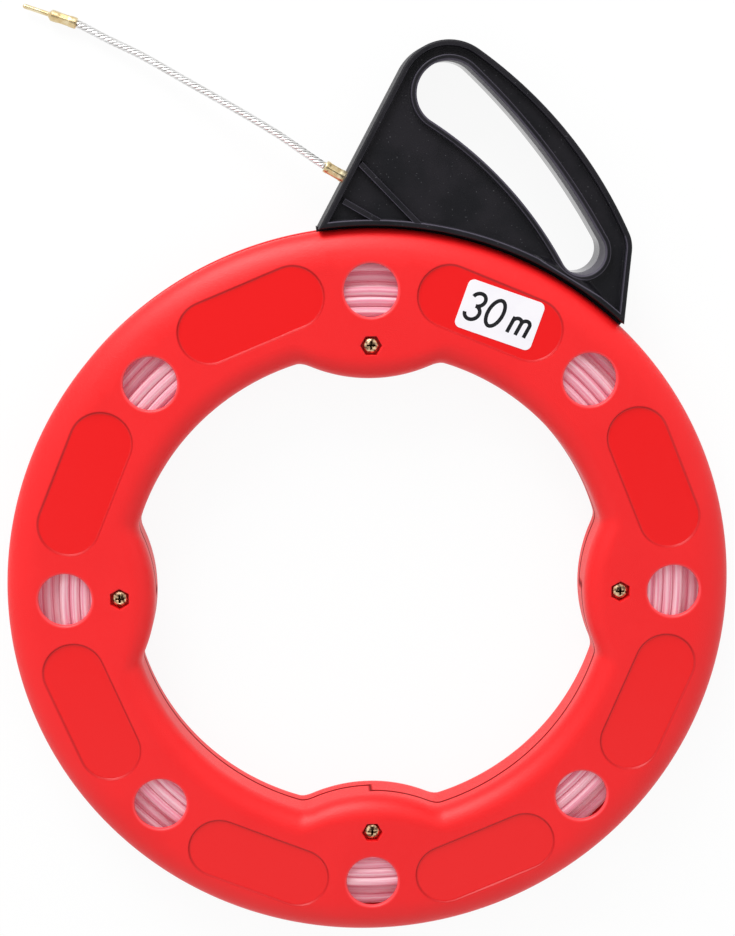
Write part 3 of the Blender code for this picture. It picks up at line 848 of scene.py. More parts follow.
@dataclass
class Casing:
    """The two alike mouldings: a hollow ring with windows, polished pads, and hex pockets on four lobes."""

    radius: float = 0.145
    half: float = 0.015
    wall: float = 0.0022
    edge: float = 0.0004
    face_out: float = 0.137
    face_mid: float = 0.1066
    sector: float = 45.0
    radial_cells: int = 28
    strip_cells: int = 10

    bore: float = 0.0965
    bore_width: float = 0.009
    bore_depth: float = 0.008
    bore_steps: int = 12
    bore_back_steps: int = 7
    lobe_reach: float = 0.0863
    lobe_nose: float = 0.060
    lobe_blend: float = 0.0025

    rim_width: float = 0.014
    rim_depth: float = 0.0085
    rim_steps: int = 15
    rim_back_steps: int = 8
    slot: float = 0.009

    step: float = 0.006
    step_half: float = 0.12
    gap: float = 0.0003
    line_lip: float = 0.0004
    line_row: float = 0.00025
    step_rows: Pair = (0.0007, 0.0004)
    # How far above the parting line the painted shade of the gap reaches, along the line and at its steps.
    gap_shade_at_line: float = 0.00002
    gap_shade_at_step: float = 0.00045

    feature_circle: float = 0.1215
    window_r: float = 0.0105
    window_half: float = 6.9
    window_round: float = 0.0009
    window_turns: tuple[float, ...] = (30, 60, 90)
    window_shares: tuple[float, ...] = (0, 0.4, 0.75, 0.93, 1)
    window_under: tuple[float, float, int] = (0.2, 1.0, 4)
    # Painted highlight on the window rims, one value for each ring of a window.
    window_highlight: tuple[float, ...] = (0, 0, 0, 0, 0.1, 0.6, 1, 1, 0.8, 0.2, 0, 0, 0, 0)
    window_cells: int = 18

    pad_length: float = 0.060
    pad_width: float = 0.025
    pad_depth: float = 0.0008
    pad_border: float = 0.0004
    pad_slope: tuple[Pair, ...] = (
        (0.0, 0.06),
        (0.00014, 0.26),
        (0.0003, 0.55),
        (0.00046, 0.82),
        (0.00062, 0.96),
        (0.00095, 1.0),
    )
    pad_fade: Pair = (0.0003, 0.0009)
    # The band of painted shade along each pad's edge, by the distance inside the pad.
    crease_shade_rise: Pair = (-0.0002, 0.00014)
    crease_shade_fall: Pair = (0.00046, 0.0010)
    pad_rows: int = 5
    pad_cells: int = 42

    pocket_circle: float = 0.100
    pocket_flats: float = 0.0073
    pocket_depth: float = 0.0036
    pocket_round: float = 0.00025
    pocket_shares: tuple[float, ...] = (0, 0.5, 0.9, 1)
    corner_snap: float = 6.0
    screw_hole: float = 0.0022
    boss_r: float = 0.0046

    def off_lobe(self, angle: Array) -> Array:
        """Degrees from the nearest lobe."""
        return (angle + QUARTER / 2) % QUARTER - QUARTER / 2

    def bore_at(self, angle: Array) -> Array:
        """The bore's radius: a circle that four round noses push in, softly blended.

        Args:
            angle: Angles in degrees.

        Returns:
            The bore's radius at each angle.
        """
        turn = np.radians(self.off_lobe(angle))
        centre = self.lobe_reach + self.lobe_nose
        inside = np.maximum(self.lobe_nose**2 - (centre * np.sin(turn)) ** 2, 0)
        nose = np.where(inside > 0, centre * np.cos(turn) - np.sqrt(inside), 2 * self.bore)
        share = np.clip(0.5 + (nose - self.bore) / (2 * self.lobe_blend), 0, 1)
        return nose + (self.bore - nose) * share - self.lobe_blend * share * (1 - share)

    def beyond(self, points: Array) -> Array:
        """How far points lie past the start of the rim's fall."""
        return np.maximum(np.hypot(points[..., 0], points[..., 1]) - self.radius + self.rim_width, 0)

    def top(self, points: Array) -> Array:
        """The outer face's height: flat, then falling as a quarter ellipse towards the rim."""
        return self.half - self.rim_depth * (1 - np.sqrt(1 - (self.beyond(points) / self.rim_width) ** 2))

    def under(self, points: Array) -> Array:
        """The inner face's height, a wall below the outer one."""
        share = self.beyond(points) / (self.rim_width - self.wall)
        return self.half - self.rim_depth + (self.rim_depth - self.wall) * np.sqrt(1 - share**2)

    def block(self, angles: Array, low: Array | float, high: float, rows: int) -> tuple[Array, Array]:
        """The grid between two edges across a run of angles, and the loop of its border.

        Args:
            angles: The run of angles, in degrees.
            low: Inner radius, or one at each angle.
            high: Outer radius.
            rows: Cells between the edges.

        Returns:
            The grid of plane points, and its border as one loop.
        """
        share = np.linspace(0, 1, rows + 1)[:, None]
        grid = polar(angles, low + (high - low) * share)
        loop = [grid[0, :-1], grid[:-1, -1], grid[-1, :0:-1], grid[:0:-1, 0]]
        return grid, np.concatenate(loop)

    def around(self, loop: Array, centre: Array, reach: Array | float) -> Array:
        """Points on the rays from a centre to a loop, at one reach or one for each ray."""
        ray = loop - centre
        return centre + ray * (reach / np.hypot(*ray.T))[:, None]

    def stadium_reach(self, ray: Array, inset: float) -> Array:
        """Distance along each ray to a stadium: its straight side where the ray meets it, else its round end.

        Args:
            ray: Directions in the stadium's own axes, the first along its length.
            inset: How far the stadium is drawn in.

        Returns:
            The distances.
        """
        ray = np.abs(ray / np.hypot(*ray.T)[:, None])
        radius = self.pad_width / 2 - inset
        straight = (self.pad_length - self.pad_width) / 2
        side = radius / np.maximum(ray[:, 1], TINY)
        along = ray[:, 0] * straight
        end = along + np.sqrt(np.maximum(along**2 - straight**2 + radius**2, 0))
        return np.where(side * ray[:, 0] <= straight, side, end)

    def pad_rings(self, loop: Array, angle: float) -> Array:
        """Rings from a block's border in to a pad's sunk floor, down a sloped edge.

        Args:
            loop: The block's border.
            angle: The pad's angle round the reel, in degrees.

        Returns:
            The rings, the last one lying on the floor.
        """
        centre = polar(angle, self.feature_circle)
        axes = np.stack([polar(angle + QUARTER, 1.0), polar(angle, 1.0)], axis=1)
        ray = (loop - centre) @ axes
        border = self.around(loop, centre, self.stadium_reach(ray, -self.pad_border))
        rows = between(loop, border, np.linspace(0, 1, self.pad_rows))
        rings = [*lifted(rows, self.top(rows))]
        floor = self.half - self.pad_depth
        for inset, share in self.pad_slope:
            at = self.around(loop, centre, self.stadium_reach(ray, inset))
            rings.append(lifted(at, self.top(at) * (1 - share) + floor * share))
        return np.stack(rings)

    def window_rings(self, loop: Array, angle: float) -> Array:
        """Rings from a block's border over a window's rounded edge, through the wall and back below.

        Args:
            loop: The block's border.
            angle: The window's angle round the reel, in degrees.

        Returns:
            The rings.
        """
        centre = polar(angle, self.feature_circle)
        lip = self.around(loop, centre, self.window_r + self.window_round)
        rows = between(loop, lip, self.window_shares)
        rings = [*lifted(rows, self.top(rows))]
        for turn in np.radians(self.window_turns):
            at = self.around(loop, centre, self.window_r + self.window_round * (1 - math.sin(turn)))
            rings.append(lifted(at, self.half - self.window_round * (1 - math.cos(turn))))
        foot = self.half - self.wall
        chamfer = self.around(loop, centre, self.window_r + self.edge)
        rings += [lifted(self.around(loop, centre, self.window_r), foot + self.edge), lifted(chamfer, foot)]
        rows = between(chamfer, loop, np.linspace(*self.window_under))
        return np.stack([*rings, *lifted(rows, self.under(rows))])

    def pocket_rings(self, loop: Array, angle: float) -> Array:
        """Rings from a block's border into a hex pocket, down its screw hole, and up round the boss below.

        Args:
            loop: The block's border.
            angle: The pocket's angle round the reel, in degrees.

        Returns:
            The rings.
        """
        centre = polar(angle, self.pocket_circle)
        face = bearing(loop - centre) - angle
        corner = np.round((face - 30) / 60) * 60 + 30
        apart = np.abs(face - corner)
        nearest = apart <= np.minimum(np.roll(apart, 1), np.roll(apart, -1))
        face = np.where(nearest & (apart < self.corner_snap), corner, face)
        way = polar(face + angle, 1.0)
        flats = self.pocket_flats / 2 * hexagon(face)
        hole, boss = np.full_like(flats, self.screw_hole), np.full_like(flats, self.boss_r)
        top, floor, under = self.half, self.half - self.pocket_depth, self.half - self.wall
        mid = MID_ROUND * self.pocket_round
        shape = [(flats + mid, top - mid), (flats, top - self.pocket_round), (flats, floor), (hole, floor)]
        shape += [(hole, self.gap / 2), (boss, self.gap / 2), (boss, under)]
        rings = [lifted(centre + way * reach[:, None], z) for reach, z in shape]
        lip = centre + way * (flats + self.pocket_round)[:, None]
        rows = lifted(between(loop, lip, self.pocket_shares), top)
        return np.stack([*rows, *rings, lifted(loop, under)])

    def rim_rows(self, angles: Array) -> Array:
        """The rim's section carried round: down the outer ellipse, round the slot's edge and up inside.

        Args:
            angles: The stations, in degrees.

        Returns:
            Rows of points, each one ring.
        """
        reach = self.face_out - self.radius + self.rim_width
        turn = np.linspace(math.asin(reach / self.rim_width), np.pi / 2, self.rim_steps)
        r = self.radius - self.rim_width * (1 - np.sin(turn))
        z = self.half - self.rim_depth * (1 - np.cos(turn))
        low, lip, inside = self.slot / 2, self.edge, self.radius - self.wall
        mid = MID_ROUND * lip
        r = np.append(r, [self.radius, self.radius - mid, self.radius - lip, inside + lip, inside])
        z = np.append(z, [low + lip, low + mid, low, low, low + lip])
        width, depth = self.rim_width - self.wall, self.rim_depth - self.wall
        back = np.linspace(np.pi / 2, math.asin(reach / width), self.rim_back_steps)
        r = np.append(r, inside - width * (1 - np.sin(back)))
        z = np.append(z, self.half - self.rim_depth + depth * np.cos(back))
        return lifted(polar(angles[None], r[:, None]), z[:, None])

    def bore_rows(self, angles: Array) -> Array:
        """The bore's section carried round: down the rounded edge to the stepped parting line and up inside.

        Args:
            angles: The stations, in degrees.

        Returns:
            Rows of points, each one ring.
        """
        hole = self.bore_at(angles)
        turn = np.linspace(0, np.pi / 2, self.bore_steps)[:, None]
        front = polar(angles, hole + self.bore_width * (1 - np.sin(turn)))
        stepped, line = self.parting(angles)
        near, lip = self.bore_at(stepped), self.line_lip
        mid, clear = MID_ROUND * lip, self.step / 2 + self.gap / 2 + lip
        shape = [(near, clear + rise) for rise in self.step_rows]
        shape += [(near, line + lip + self.line_row), (near, line + lip), (near + mid, line + mid)]
        shape += [(near + lip, line), (near + self.wall, line)]
        back = np.linspace(np.pi / 2, 0, self.bore_back_steps)[:, None]
        width, depth = self.bore_width - self.wall, self.bore_depth - self.wall
        rear = polar(angles, hole + self.wall + width * (1 - np.sin(back)))
        return np.stack(
            [
                *lifted(front, self.half - self.bore_depth * (1 - np.cos(turn))),
                *(lifted(polar(stepped, r), z) for r, z in shape),
                *lifted(rear, self.half - self.bore_depth + depth * np.cos(back)),
            ]
        )

    def line_height(self, quarter: Array) -> Array:
        """The parting line's height: low in even quarters of the turn, high in odd ones."""
        return np.where(quarter % 2 == 0, -self.step, self.step) / 2 + self.gap / 2

    def parting(self, angles: Array) -> tuple[Array, Array]:
        """The parting line: low and high by quarters, with an upright step at each lobe.

        Args:
            angles: The stations, in degrees.

        Returns:
            The stations with two drawn to each step, and the line's height at each.
        """
        quarter = np.floor((angles + TINY) / QUARTER)
        at_step = np.abs(self.off_lobe(angles)) < TINY
        stepped = np.where(at_step, angles - self.step_half, angles)
        stepped = np.where(np.roll(at_step, 1), np.roll(angles, 1) + self.step_half, stepped)
        return stepped, self.line_height(quarter - at_step)

    def skin(self) -> Skin:
        """All grids of one moulding, about the reel's axis with its face up.

        Returns:
            The gathered grids.
        """
        skin = Skin()
        stations = []
        for index in range(round(360 / self.sector)):
            window, pad = self.sector * index, self.sector * (index + 0.5)
            near = window + np.linspace(-self.window_half, self.window_half, self.window_cells + 1)
            far = np.linspace(near[-1], window + self.sector - self.window_half, self.pad_cells + 1)
            stations += [near[:-1], far[:-1]]
            loop = self.block(near, self.face_mid, self.face_out, self.radial_cells)[1]
            # The window rims carry a painted highlight.
            skin.grid(self.window_rings(loop, window), light_shade_mark=np.array(self.window_highlight)[:, None])
            grid, loop = self.strip(near)
            if index % 2 == 0:
                skin.grid(self.pocket_rings(loop, window))
            else:
                self.both_faces(skin, grid)
            grid, loop = self.block(far, self.face_mid, self.face_out, self.radial_cells)
            rings = self.pad_rings(loop, pad)
            skin.grid(rings)
            skin.cap(rings[-1])
            skin.grid(lifted(grid, self.under(grid)), ring=False)
            self.both_faces(skin, self.strip(far)[0])
        angles = np.concatenate(stations)
        skin.grid(self.rim_rows(angles))
        skin.grid(self.bore_rows(angles))
        return skin

    def strip(self, angles: Array) -> tuple[Array, Array]:
        """The block between the bore's rounded edge and the windows."""
        return self.block(angles, self.bore_at(angles) + self.bore_width, self.face_mid, self.strip_cells)

    def both_faces(self, skin: Skin, grid: Array) -> None:
        """Add a plain block's outer and inner faces."""
        skin.grid(lifted(grid, self.top(grid)), ring=False)
        skin.grid(lifted(grid, self.under(grid)), ring=False)

    def mark_pads(self, piece: bpy.types.Object, turn: float) -> None:
        """Write the pads' floors, the painted shade in the creases at their edges and the painted shade in
        the parting gap as the attributes pad, crease_shade and gap.

        Args:
            piece: One moulding.
            turn: 1 for the front moulding, -1 for the rear one, which is turned over.
        """
        mesh = piece.data
        at = np.empty(len(mesh.vertices) * 3)
        mesh.vertices.foreach_get("co", at)
        at = (at.reshape(-1, 3) - AXIS) * np.array([1.0, turn, turn])
        way, reach = bearing(at) % 360, np.hypot(at[:, 0], at[:, 1])
        spot = polar(way % self.sector - self.sector / 2, reach)
        along = np.maximum(np.abs(spot[:, 1]) - (self.pad_length - self.pad_width) / 2, 0)
        inside = self.pad_width / 2 - np.hypot(along, spot[:, 0] - self.feature_circle)
        outer = np.abs(at[:, 2]) > self.half - self.wall / 2
        pad = smooth(*self.pad_fade, inside) * outer
        # Painted shade in the crease along each pad's edge.
        crease_shade = smooth(*self.crease_shade_rise, inside) * (1 - smooth(*self.crease_shade_fall, inside)) * outer
        # Painted shade in the parting gap: the bore's wall below the line, and a little above it at the
        # steps.
        at_step = np.abs(self.off_lobe(way)) < 2 * self.step_half
        line = self.line_height(way // QUARTER) + self.gap_shade_at_line
        dark = np.where(at_step, self.step / 2 + self.gap / 2 + self.gap_shade_at_step, line) + self.line_lip
        gap = (reach < self.bore_at(way) + self.wall / 2) & (at[:, 2] < dark)
        for key, value in (("pad", pad), ("crease_shade", crease_shade), ("gap", gap)):
            mesh.attributes.new(key, "FLOAT", "POINT").data.foreach_set("value", value.astype(np.float32))

    def build(self) -> None:
        """Make both mouldings, the rear one turned over about the x axis."""
        for name, turn in FACING.items():
            skin = self.skin()
            skin.points = [p * np.array([1.0, turn, turn]) + AXIS for p in skin.points]
            piece = skin.piece(f"casing_{name}", Body.REEL, Slot.CASING, RED)
            self.mark_pads(piece, turn)
            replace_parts(piece, f"{name}_shell")


@dataclass(frozen=True)
class ScrewSize:
    """A screw's head and shank."""

    head_r: float
    head_height: float
    shank_r: float


@dataclass
class Fasteners:
    """Cross-head screws and hex nuts, seated where the frame has them."""

    casing: ScrewSize = ScrewSize(0.0030, 0.0028, 0.0019)
    grip: ScrewSize = ScrewSize(0.0028, 0.0020, 0.0015)
    cross_length: float = 0.0036
    cross_width: float = 0.0008
    cross_depth: float = 0.0015
    cross_slope: float = 0.00028
    cross_rise: float = 0.5
    # The painted shade in the cross recess, by how deep a point is pressed.
    cross_shade: tuple[float, float] = (0.2, 0.7)
    dome_share: float = 0.97
    dome_fall: float = 0.3
    dome_power: float = 2.2
    brim: tuple[tuple[float, float], ...] = ((0.992, 0.62), (1.0, 0.55), (1.0, 0.06), (0.97, 0.0))
    nut_bore: float = 0.0021
    nut_flats: float = 0.0070
    nut_trim: float = 1.04
    chamfer: float = 0.0005
    rings: int = 26
    sides: int = 96
    nut_sides: int = 48
    nut_sharp: float = 20.0

    def head_rows(self, size: ScrewSize) -> tuple[Array, Array]:
        """A domed head that falls from its middle with a power of the distance, with a cross pressed in.

        Args:
            size: The screw's size, on which the cross is scaled.

        Returns:
            Rows of points from the top's middle out and down to the underside, and each point's painted
            shade.
        """
        share = np.linspace(0.0, 1.0, self.rings)[:, None]
        turn = full_turn(self.sides)
        at = polar(turn[None], size.head_r * self.dome_share * share)
        scale = size.head_r / self.casing.head_r
        x, y = np.abs(at[..., 0]), np.abs(at[..., 1])
        half, width = self.cross_length * scale / 2, self.cross_width * scale / 2
        arm = np.minimum(np.maximum(x - half, y - width), np.maximum(y - half, x - width))
        pressed = smooth(0.0, self.cross_slope * scale, -arm) * (1 - self.cross_rise * share)
        dome = size.head_height * (1 - self.dome_fall * share**self.dome_power)
        rows = lifted(at, dome - self.cross_depth * scale * pressed)
        brim = [lifted(polar(turn, size.head_r * r), size.head_height * z) for r, z in self.brim]
        # Painted shade in the cross recess.
        light_shade_marks = np.concatenate([smooth(*self.cross_shade, pressed), np.zeros((len(brim), self.sides))])
        return np.concatenate([rows, np.stack(brim)]), light_shade_marks

    def screw(self, node: str, size: ScrewSize, up: float) -> Skin:
        """A screw in a frame node's place.

        Args:
            node: The frame's screw.
            size: Its size.
            up: 1 with its head up, -1 with it down.

        Returns:
            Its skin.
        """
        low, high = (np.array(corner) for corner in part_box(node))
        middle = (low + high) / 2
        rows, light_shade_marks = self.head_rows(size)
        length = high[2] - low[2] - size.head_height
        end = (size.shank_r - self.chamfer, -length)
        shank = [(size.shank_r, 0.0), (size.shank_r, -length + self.chamfer), end]
        stem = np.stack([lifted(polar(full_turn(self.sides), r), z) for r, z in shank])
        rows, light_shade_marks = np.concatenate([rows, stem]), np.concatenate([light_shade_marks, np.zeros(stem.shape[:2])])
        seat = high[2] - size.head_height if up > 0 else low[2] + size.head_height
        rows = rows * np.array([1, up, up]) + np.array([middle[0], middle[1], seat])
        skin = Skin()
        skin.grid(rows, light_shade_mark=light_shade_marks)
        skin.cap(rows[-1])
        return skin

    def nut(self, node: str) -> Skin:
        """A hex nut with chamfered corners in a frame node's place.

        Args:
            node: The frame's nut.

        Returns:
            Its skin.
        """
        low, high = (np.array(corner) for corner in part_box(node))
        middle, half = (low + high) / 2, (high[2] - low[2]) / 2
        turn = full_turn(self.nut_sides)
        out = bearing(middle[:2] - AXIS[:2])
        flats = self.nut_flats / 2
        corners = flats * hexagon(turn)
        trim = np.minimum(corners, flats * self.nut_trim)
        bore = np.full_like(turn, self.nut_bore)
        shape = [(bore, half - self.chamfer), (bore + self.chamfer, half)]
        shape += [(trim, half), (corners, half - self.chamfer)]
        rows = [lifted(polar(turn + out, r), z) for r, z in shape]
        rows += [lifted(polar(turn + out, r), -z) for r, z in reversed(shape)]
        skin = Skin()
        skin.grid(np.stack(rows + rows[:1]) + middle)
        return skin

    def build(self) -> None:
        """Make every screw and nut."""
        in_casing = Body.REEL, Slot.CASING_FASTENER, ZINC
        in_grip = Body.HANDLE, Slot.HANDLE_FASTENER, STEEL
        for index in range(1, 5):
            screw, nut = f"shell_screw_{index}", f"shell_nut_{index}"
            skin = self.screw(screw, self.casing, 1)
            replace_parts(skin.piece(f"casing_screw_{index}", *in_casing), screw)
            skin = self.nut(nut)
            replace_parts(skin.piece(f"casing_nut_{index}", *in_casing, self.nut_sharp), nut)
        for index in range(1, 4):
            screw = f"handle_screw_{index}"
            skin = self.screw(screw, self.grip, -1)
            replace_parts(skin.piece(f"grip_screw_{index}", *in_grip), screw)


@dataclass
class Coil:
    """The nylon tape, wound to and fro in six layers, of which the last is part filled."""

    tape_r: float = 0.002
    start_angle: float = TANGENT_ANGLE
    pitch: float = 0.004005
    layer: float = 0.00424
    lowest: float = -0.0106
    turns_at: tuple[float, ...] = (0.1332, 0.10755, 0.1339, 0.10755, 0.1339, 0.10755, 0.1246)
    climb_half: float = 0.25
    waver: float = 0.00004
    waver_run: float = 33.706
    turn_points: int = 180
    sides: int = 10

    def path(self) -> Array:
        """The centre line: its radius runs straight between turning points, and it climbs a layer at each.

        Its height also wavers as a sine of the angle.

        Returns:
            Rows of points.
        """
        loops = np.abs(np.diff(self.turns_at)) / self.pitch
        knots = np.append(0, np.cumsum(loops))
        times = np.arange(0, knots[-1], 1 / self.turn_points)
        radius = np.interp(times, knots, self.turns_at)
        climb = sum(smooth(at - self.climb_half, at + self.climb_half, times) for at in knots[1:-1])
        angle = self.start_angle + 360 * times
        height = self.lowest + self.layer * climb + self.waver * np.sin(angle / self.waver_run)
        path = lifted(polar(angle, radius), height)
        LOG.info("coil: %.1f turns, %.1f m", knots[-1], distances(path)[-1])
        return path + AXIS

    def build(self) -> None:
        """Make the wound tape."""
        path = self.path()
        skin = Skin()
        skin.tube(tube_rows(path, self.tape_r, self.sides))
        piece = skin.piece("wound_tape", Body.REEL, Slot.TAPE, WOUND_NYLON, ROUND_SHARP)
        mark_tape(piece, path, self.sides)
        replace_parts(piece, "tape_coil")


@dataclass
class Handle:
    """The two handle halves with their lips, sunk panels and ribs, and the foot in the rim slot."""

    rim: float = Casing.radius
    top: float = 0.0135
    gap: float = 0.00015
    standoff: float = 0.0012
    base_left: float = 97.9
    base_right: float = 47.2
    base_split: float = 4.5
    grip_end: Pair = (81.3, 0.0533)
    grip_end_r: float = 0.020
    grip_bulge: float = 0.006
    grip_leave: float = 53.0
    shoulder: Pair = (53.8, 0.0278)
    shoulder_r: float = 0.014

    opening_end_r: float = 0.0123
    opening_foot: Pair = (58.66, 0.0136)
    opening_foot_r: float = 0.0088
    opening_split: float = -52.0
    opening_outer: float = 0.0032
    opening_inner: float = 0.0047

    corner_points: int = 40
    short_points: int = 60
    long_points: int = 120
    cells: tuple[int, ...] = (60, 90, 60, 120, 110, 60)

    lip: float = 0.0022
    lip_share: float = 0.47
    lip_back: float = 1.6
    edge: float = 0.0009
    edge_turns: tuple[float, ...] = (0, 22, 45, 67, 90)
    edge_clear: float = 1.05
    crease: float = 0.0003
    crease_top: tuple[Pair, ...] = ((1.0, 0.0), (0.3, 0.036), (0.0, 0.135))
    crease_foot: tuple[Pair, ...] = ((0.0, 0.88), (0.4, 0.97), (1.2, 1.0))
    draft: float = 0.0002
    panel_depth: float = 0.003
    panel_fade: float = 0.0025
    panel_rows: int = 8
    parting_rows: int = 4
    mouth_r: float = 0.00275
    mouth_near: float = 3.0
    # Painted reflection on the opening's inner wall, which also marks that wall for polish.
    wall_reflection: float = 0.8
    # Painted highlights on the collar's and the lips' rings, and how much of it each stretch of the lips
    # gets.
    collar_highlight: tuple[float, ...] = (0.6, 0.6, 0.9, 0.5, 0, 0, 0.3, 0.6, 0.4, 0, 0, 0)
    lip_highlight: tuple[float, ...] = (0, 0, 0, 0, 0, 0, 0.5, 1, 0.7, 0, 0, 0)
    lip_highlight_share: tuple[float, ...] = (0.8, 0.15, 0.1, 0.15, 1.0, 1.0)

    rib_width: float = 0.0022
    rib_start: float = 0.0030
    rib_overrun: float = 0.0014
    rib_inset: float = 0.00002
    # Painted highlights along the ribs' edges.
    rib_highlight: tuple[float, ...] = (0, 0, 0.3, 0.4, 0, 0, 1, 0.9, 0, 0)
    ribs: tuple[tuple[Pair, Pair], ...] = (
        ((91.97, 0.0269), (83.1, 0.0035)),
        ((94.7, 0.0126), (89.2, 0.0035)),
    )

    flange: Pair = (0.1395, 0.1425)
    flange_half: float = 0.0062
    neck_half: float = 0.0042
    foot_overrun: float = 0.25
    foot_stations: int = 60

    screws: tuple[Pair, ...] = ((85.9, 0.0435), (53.43, 0.0094), (91.5, 0.0066))
    well_r: float = 0.0031
    well_floor: float = 0.008
    well_overcut: float = 0.001
    well_sides: int = 40

    def off_rim(self, place: Pair) -> Array:
        """A point from its angle and its standoff from the rim."""
        return polar(place[0], self.rim + place[1])

    def base_at(self, angle: float) -> Array:
        """A point of the base, which follows the rim."""
        return polar(angle, self.rim + self.standoff)

    def left_edge(self) -> float:
        """The bearing of the straight left edge, a tangent from the base's end to the grip's round end."""
        to_end = self.off_rim(self.grip_end) - self.base_at(self.base_left)
        return bearing(to_end) + math.degrees(math.asin(self.grip_end_r / math.hypot(*to_end)))

    def outside(self) -> list[Array]:
        """The handle's outline, counter-clockwise in six stretches.

        It runs from the right foot up the shoulder, along the bulged grip, round its end, down the straight
        left edge and back along the base in two arcs.

        Returns:
            The stretches.
        """
        right, left = self.base_at(self.base_right), self.base_at(self.base_left)
        end, shoulder = self.off_rim(self.grip_end), self.off_rim(self.shoulder)
        head = end + polar(self.grip_leave, self.grip_end_r)
        rise, toward = bearing(shoulder - right), bearing(head - shoulder)
        turn = bulge_turn(shoulder, head, self.grip_bulge)
        reach = self.shoulder_r * math.tan(math.radians(toward - turn - rise) / 2)
        hub = shoulder - polar(rise, reach) + polar(rise + QUARTER, self.shoulder_r)
        corner = arc(hub, self.shoulder_r, rise - QUARTER, toward - turn - QUARTER, self.corner_points)
        leave, arrive = toward + turn - QUARTER, self.left_edge() + QUARTER
        grip_last = end + polar(leave, self.grip_end_r)
        round_end = arc(end, self.grip_end_r, leave, arrive, self.long_points)
        base, split = self.rim + self.standoff, self.opening_foot[0] + self.base_split
        return [
            np.vstack([right, corner]),
            bulged(corner[-1], grip_last, self.grip_bulge, self.long_points),
            round_end,
            np.stack([round_end[-1], left]),
            arc(np.zeros(2), base, self.base_left, split, self.long_points),
            arc(np.zeros(2), base, split, self.base_right, self.short_points),
        ]

    def inside(self) -> list[Array]:
        """The opening's outline, in six stretches that lie across the wall from the handle's own.

        The opening is a wide round end and a narrow one, joined by two bulged edges.

        Returns:
            The stretches, counter-clockwise.
        """
        end, narrow = self.off_rim(self.grip_end), self.off_rim(self.opening_foot)
        end_r, foot_r = self.opening_end_r, self.opening_foot_r
        way, split = bearing(narrow - end), self.left_edge() + QUARTER
        inner, outer = (bulge_turn(end, narrow, rise) for rise in (self.opening_inner, self.opening_outer))
        low, high = way - QUARTER - inner, way + QUARTER - outer
        first, last = way + QUARTER + outer, way + 3 * QUARTER + inner
        rising = narrow + polar(high, foot_r), end + polar(first, end_r)
        falling = end + polar(last, end_r), narrow + polar(low, foot_r)
        return [
            arc(narrow, foot_r, self.opening_split, high, self.short_points),
            bulged(*rising, self.opening_outer, self.long_points),
            arc(end, end_r, first, split, self.short_points),
            arc(end, end_r, split, last, self.short_points),
            bulged(*falling, -self.opening_inner, self.long_points),
            arc(narrow, foot_r, low, self.opening_split, self.short_points),
        ]

    def lip_rings(self, lines: list[Array], inward: float, room: Array, depth: Array) -> list[Array]:
        """Rings from a wall's rounded top edge over its lip and down to the sunk panel.

        Args:
            lines: The wall's outline, in stretches.
            inward: The direction of the lip from the outline: -1 inside it, 1 outside.
            room: Share of the lip's full width that fits at each point.
            depth: Panel depth at each point.

        Returns:
            The rings from the edge to the panel's floor.
        """
        lip, crease = self.lip * room, self.crease
        turns = np.radians(self.edge_turns)
        shape = [(self.edge * (1 - math.cos(t)), self.edge * (1 - math.sin(t))) for t in turns]
        shape.append((np.maximum(lip - self.lip_back * crease, self.edge * self.edge_clear), 0.0))
        shape += [(lip - back * crease, depth * fall) for back, fall in self.crease_top]
        shape += [(lip + self.draft + out * crease, depth * fall) for out, fall in self.crease_foot]
        return [lifted(moved(lines, self.cells, out * inward), self.top - fall) for out, fall in shape]

    def half_rows(self) -> tuple[Array, Array]:
        """One half's rings: up the opening's wall, over its collar, across the panel and down outside.

        Returns:
            Rows of points about the reel's axis, the half facing up, and each point's share of painted
            highlight and painted reflection.
        """
        outside, inside = self.outside(), self.inside()
        outer, inner = moved(outside, self.cells, 0.0), moved(inside, self.cells, 0.0)
        room = np.linalg.norm(outer[:, None] - inner[None], axis=2).min(axis=0)
        full = self.lip + self.draft + self.crease_foot[-1][0] * self.crease
        share = np.minimum(1, self.lip_share * room / full)
        depth = self.panel_depth * smooth(2 * self.lip, 2 * self.lip + self.panel_fade, room)
        collar = self.lip_rings(inside, 1, share, depth)
        lip = self.lip_rings(outside, -1, share, depth)[::-1]
        panel = between(collar[-1], lip[0], np.linspace(0, 1, self.panel_rows + 2)[1:-1])
        bottom = lifted(outer, self.mouth_arch(outer))
        under = between(bottom, lifted(inner, self.gap), np.linspace(0, 1, self.parting_rows))
        rows = [under[-1], *collar, *panel, *lip, *under]
        light_shade_marks = np.zeros((len(rows), len(outer)))
        # Painted reflection on the opening's inner wall.
        light_shade_marks[[0, -1]] = self.wall_reflection
        # Painted highlights on the collar and along the lips, less on some stretches.
        light_shade_marks[1 : 1 + len(collar)] = np.array(self.collar_highlight)[:, None]
        lip_highlights = np.array(self.lip_highlight[::-1])[:, None] * np.repeat(self.lip_highlight_share, self.cells)
        light_shade_marks[-len(under) - len(lip) : -len(under)] = lip_highlights
        return np.stack(rows), light_shade_marks

    def mouth_arch(self, outer: Array) -> Array:
        """The parting edge's height: level, with a round arch where the tape leaves.

        Args:
            outer: The outer outline.

        Returns:
            The edge's height at each point.
        """
        start, way, mouth = tape_line()
        spot = outer - (start + way * mouth)
        aside = np.abs(spot[:, 0] * way[1] - spot[:, 1] * way[0])
        near = np.hypot(*spot.T) < self.mouth_near * self.mouth_r
        arch = np.sqrt(np.maximum(self.mouth_r**2 - aside**2, 0)) * near
        return np.maximum(arch, self.gap)

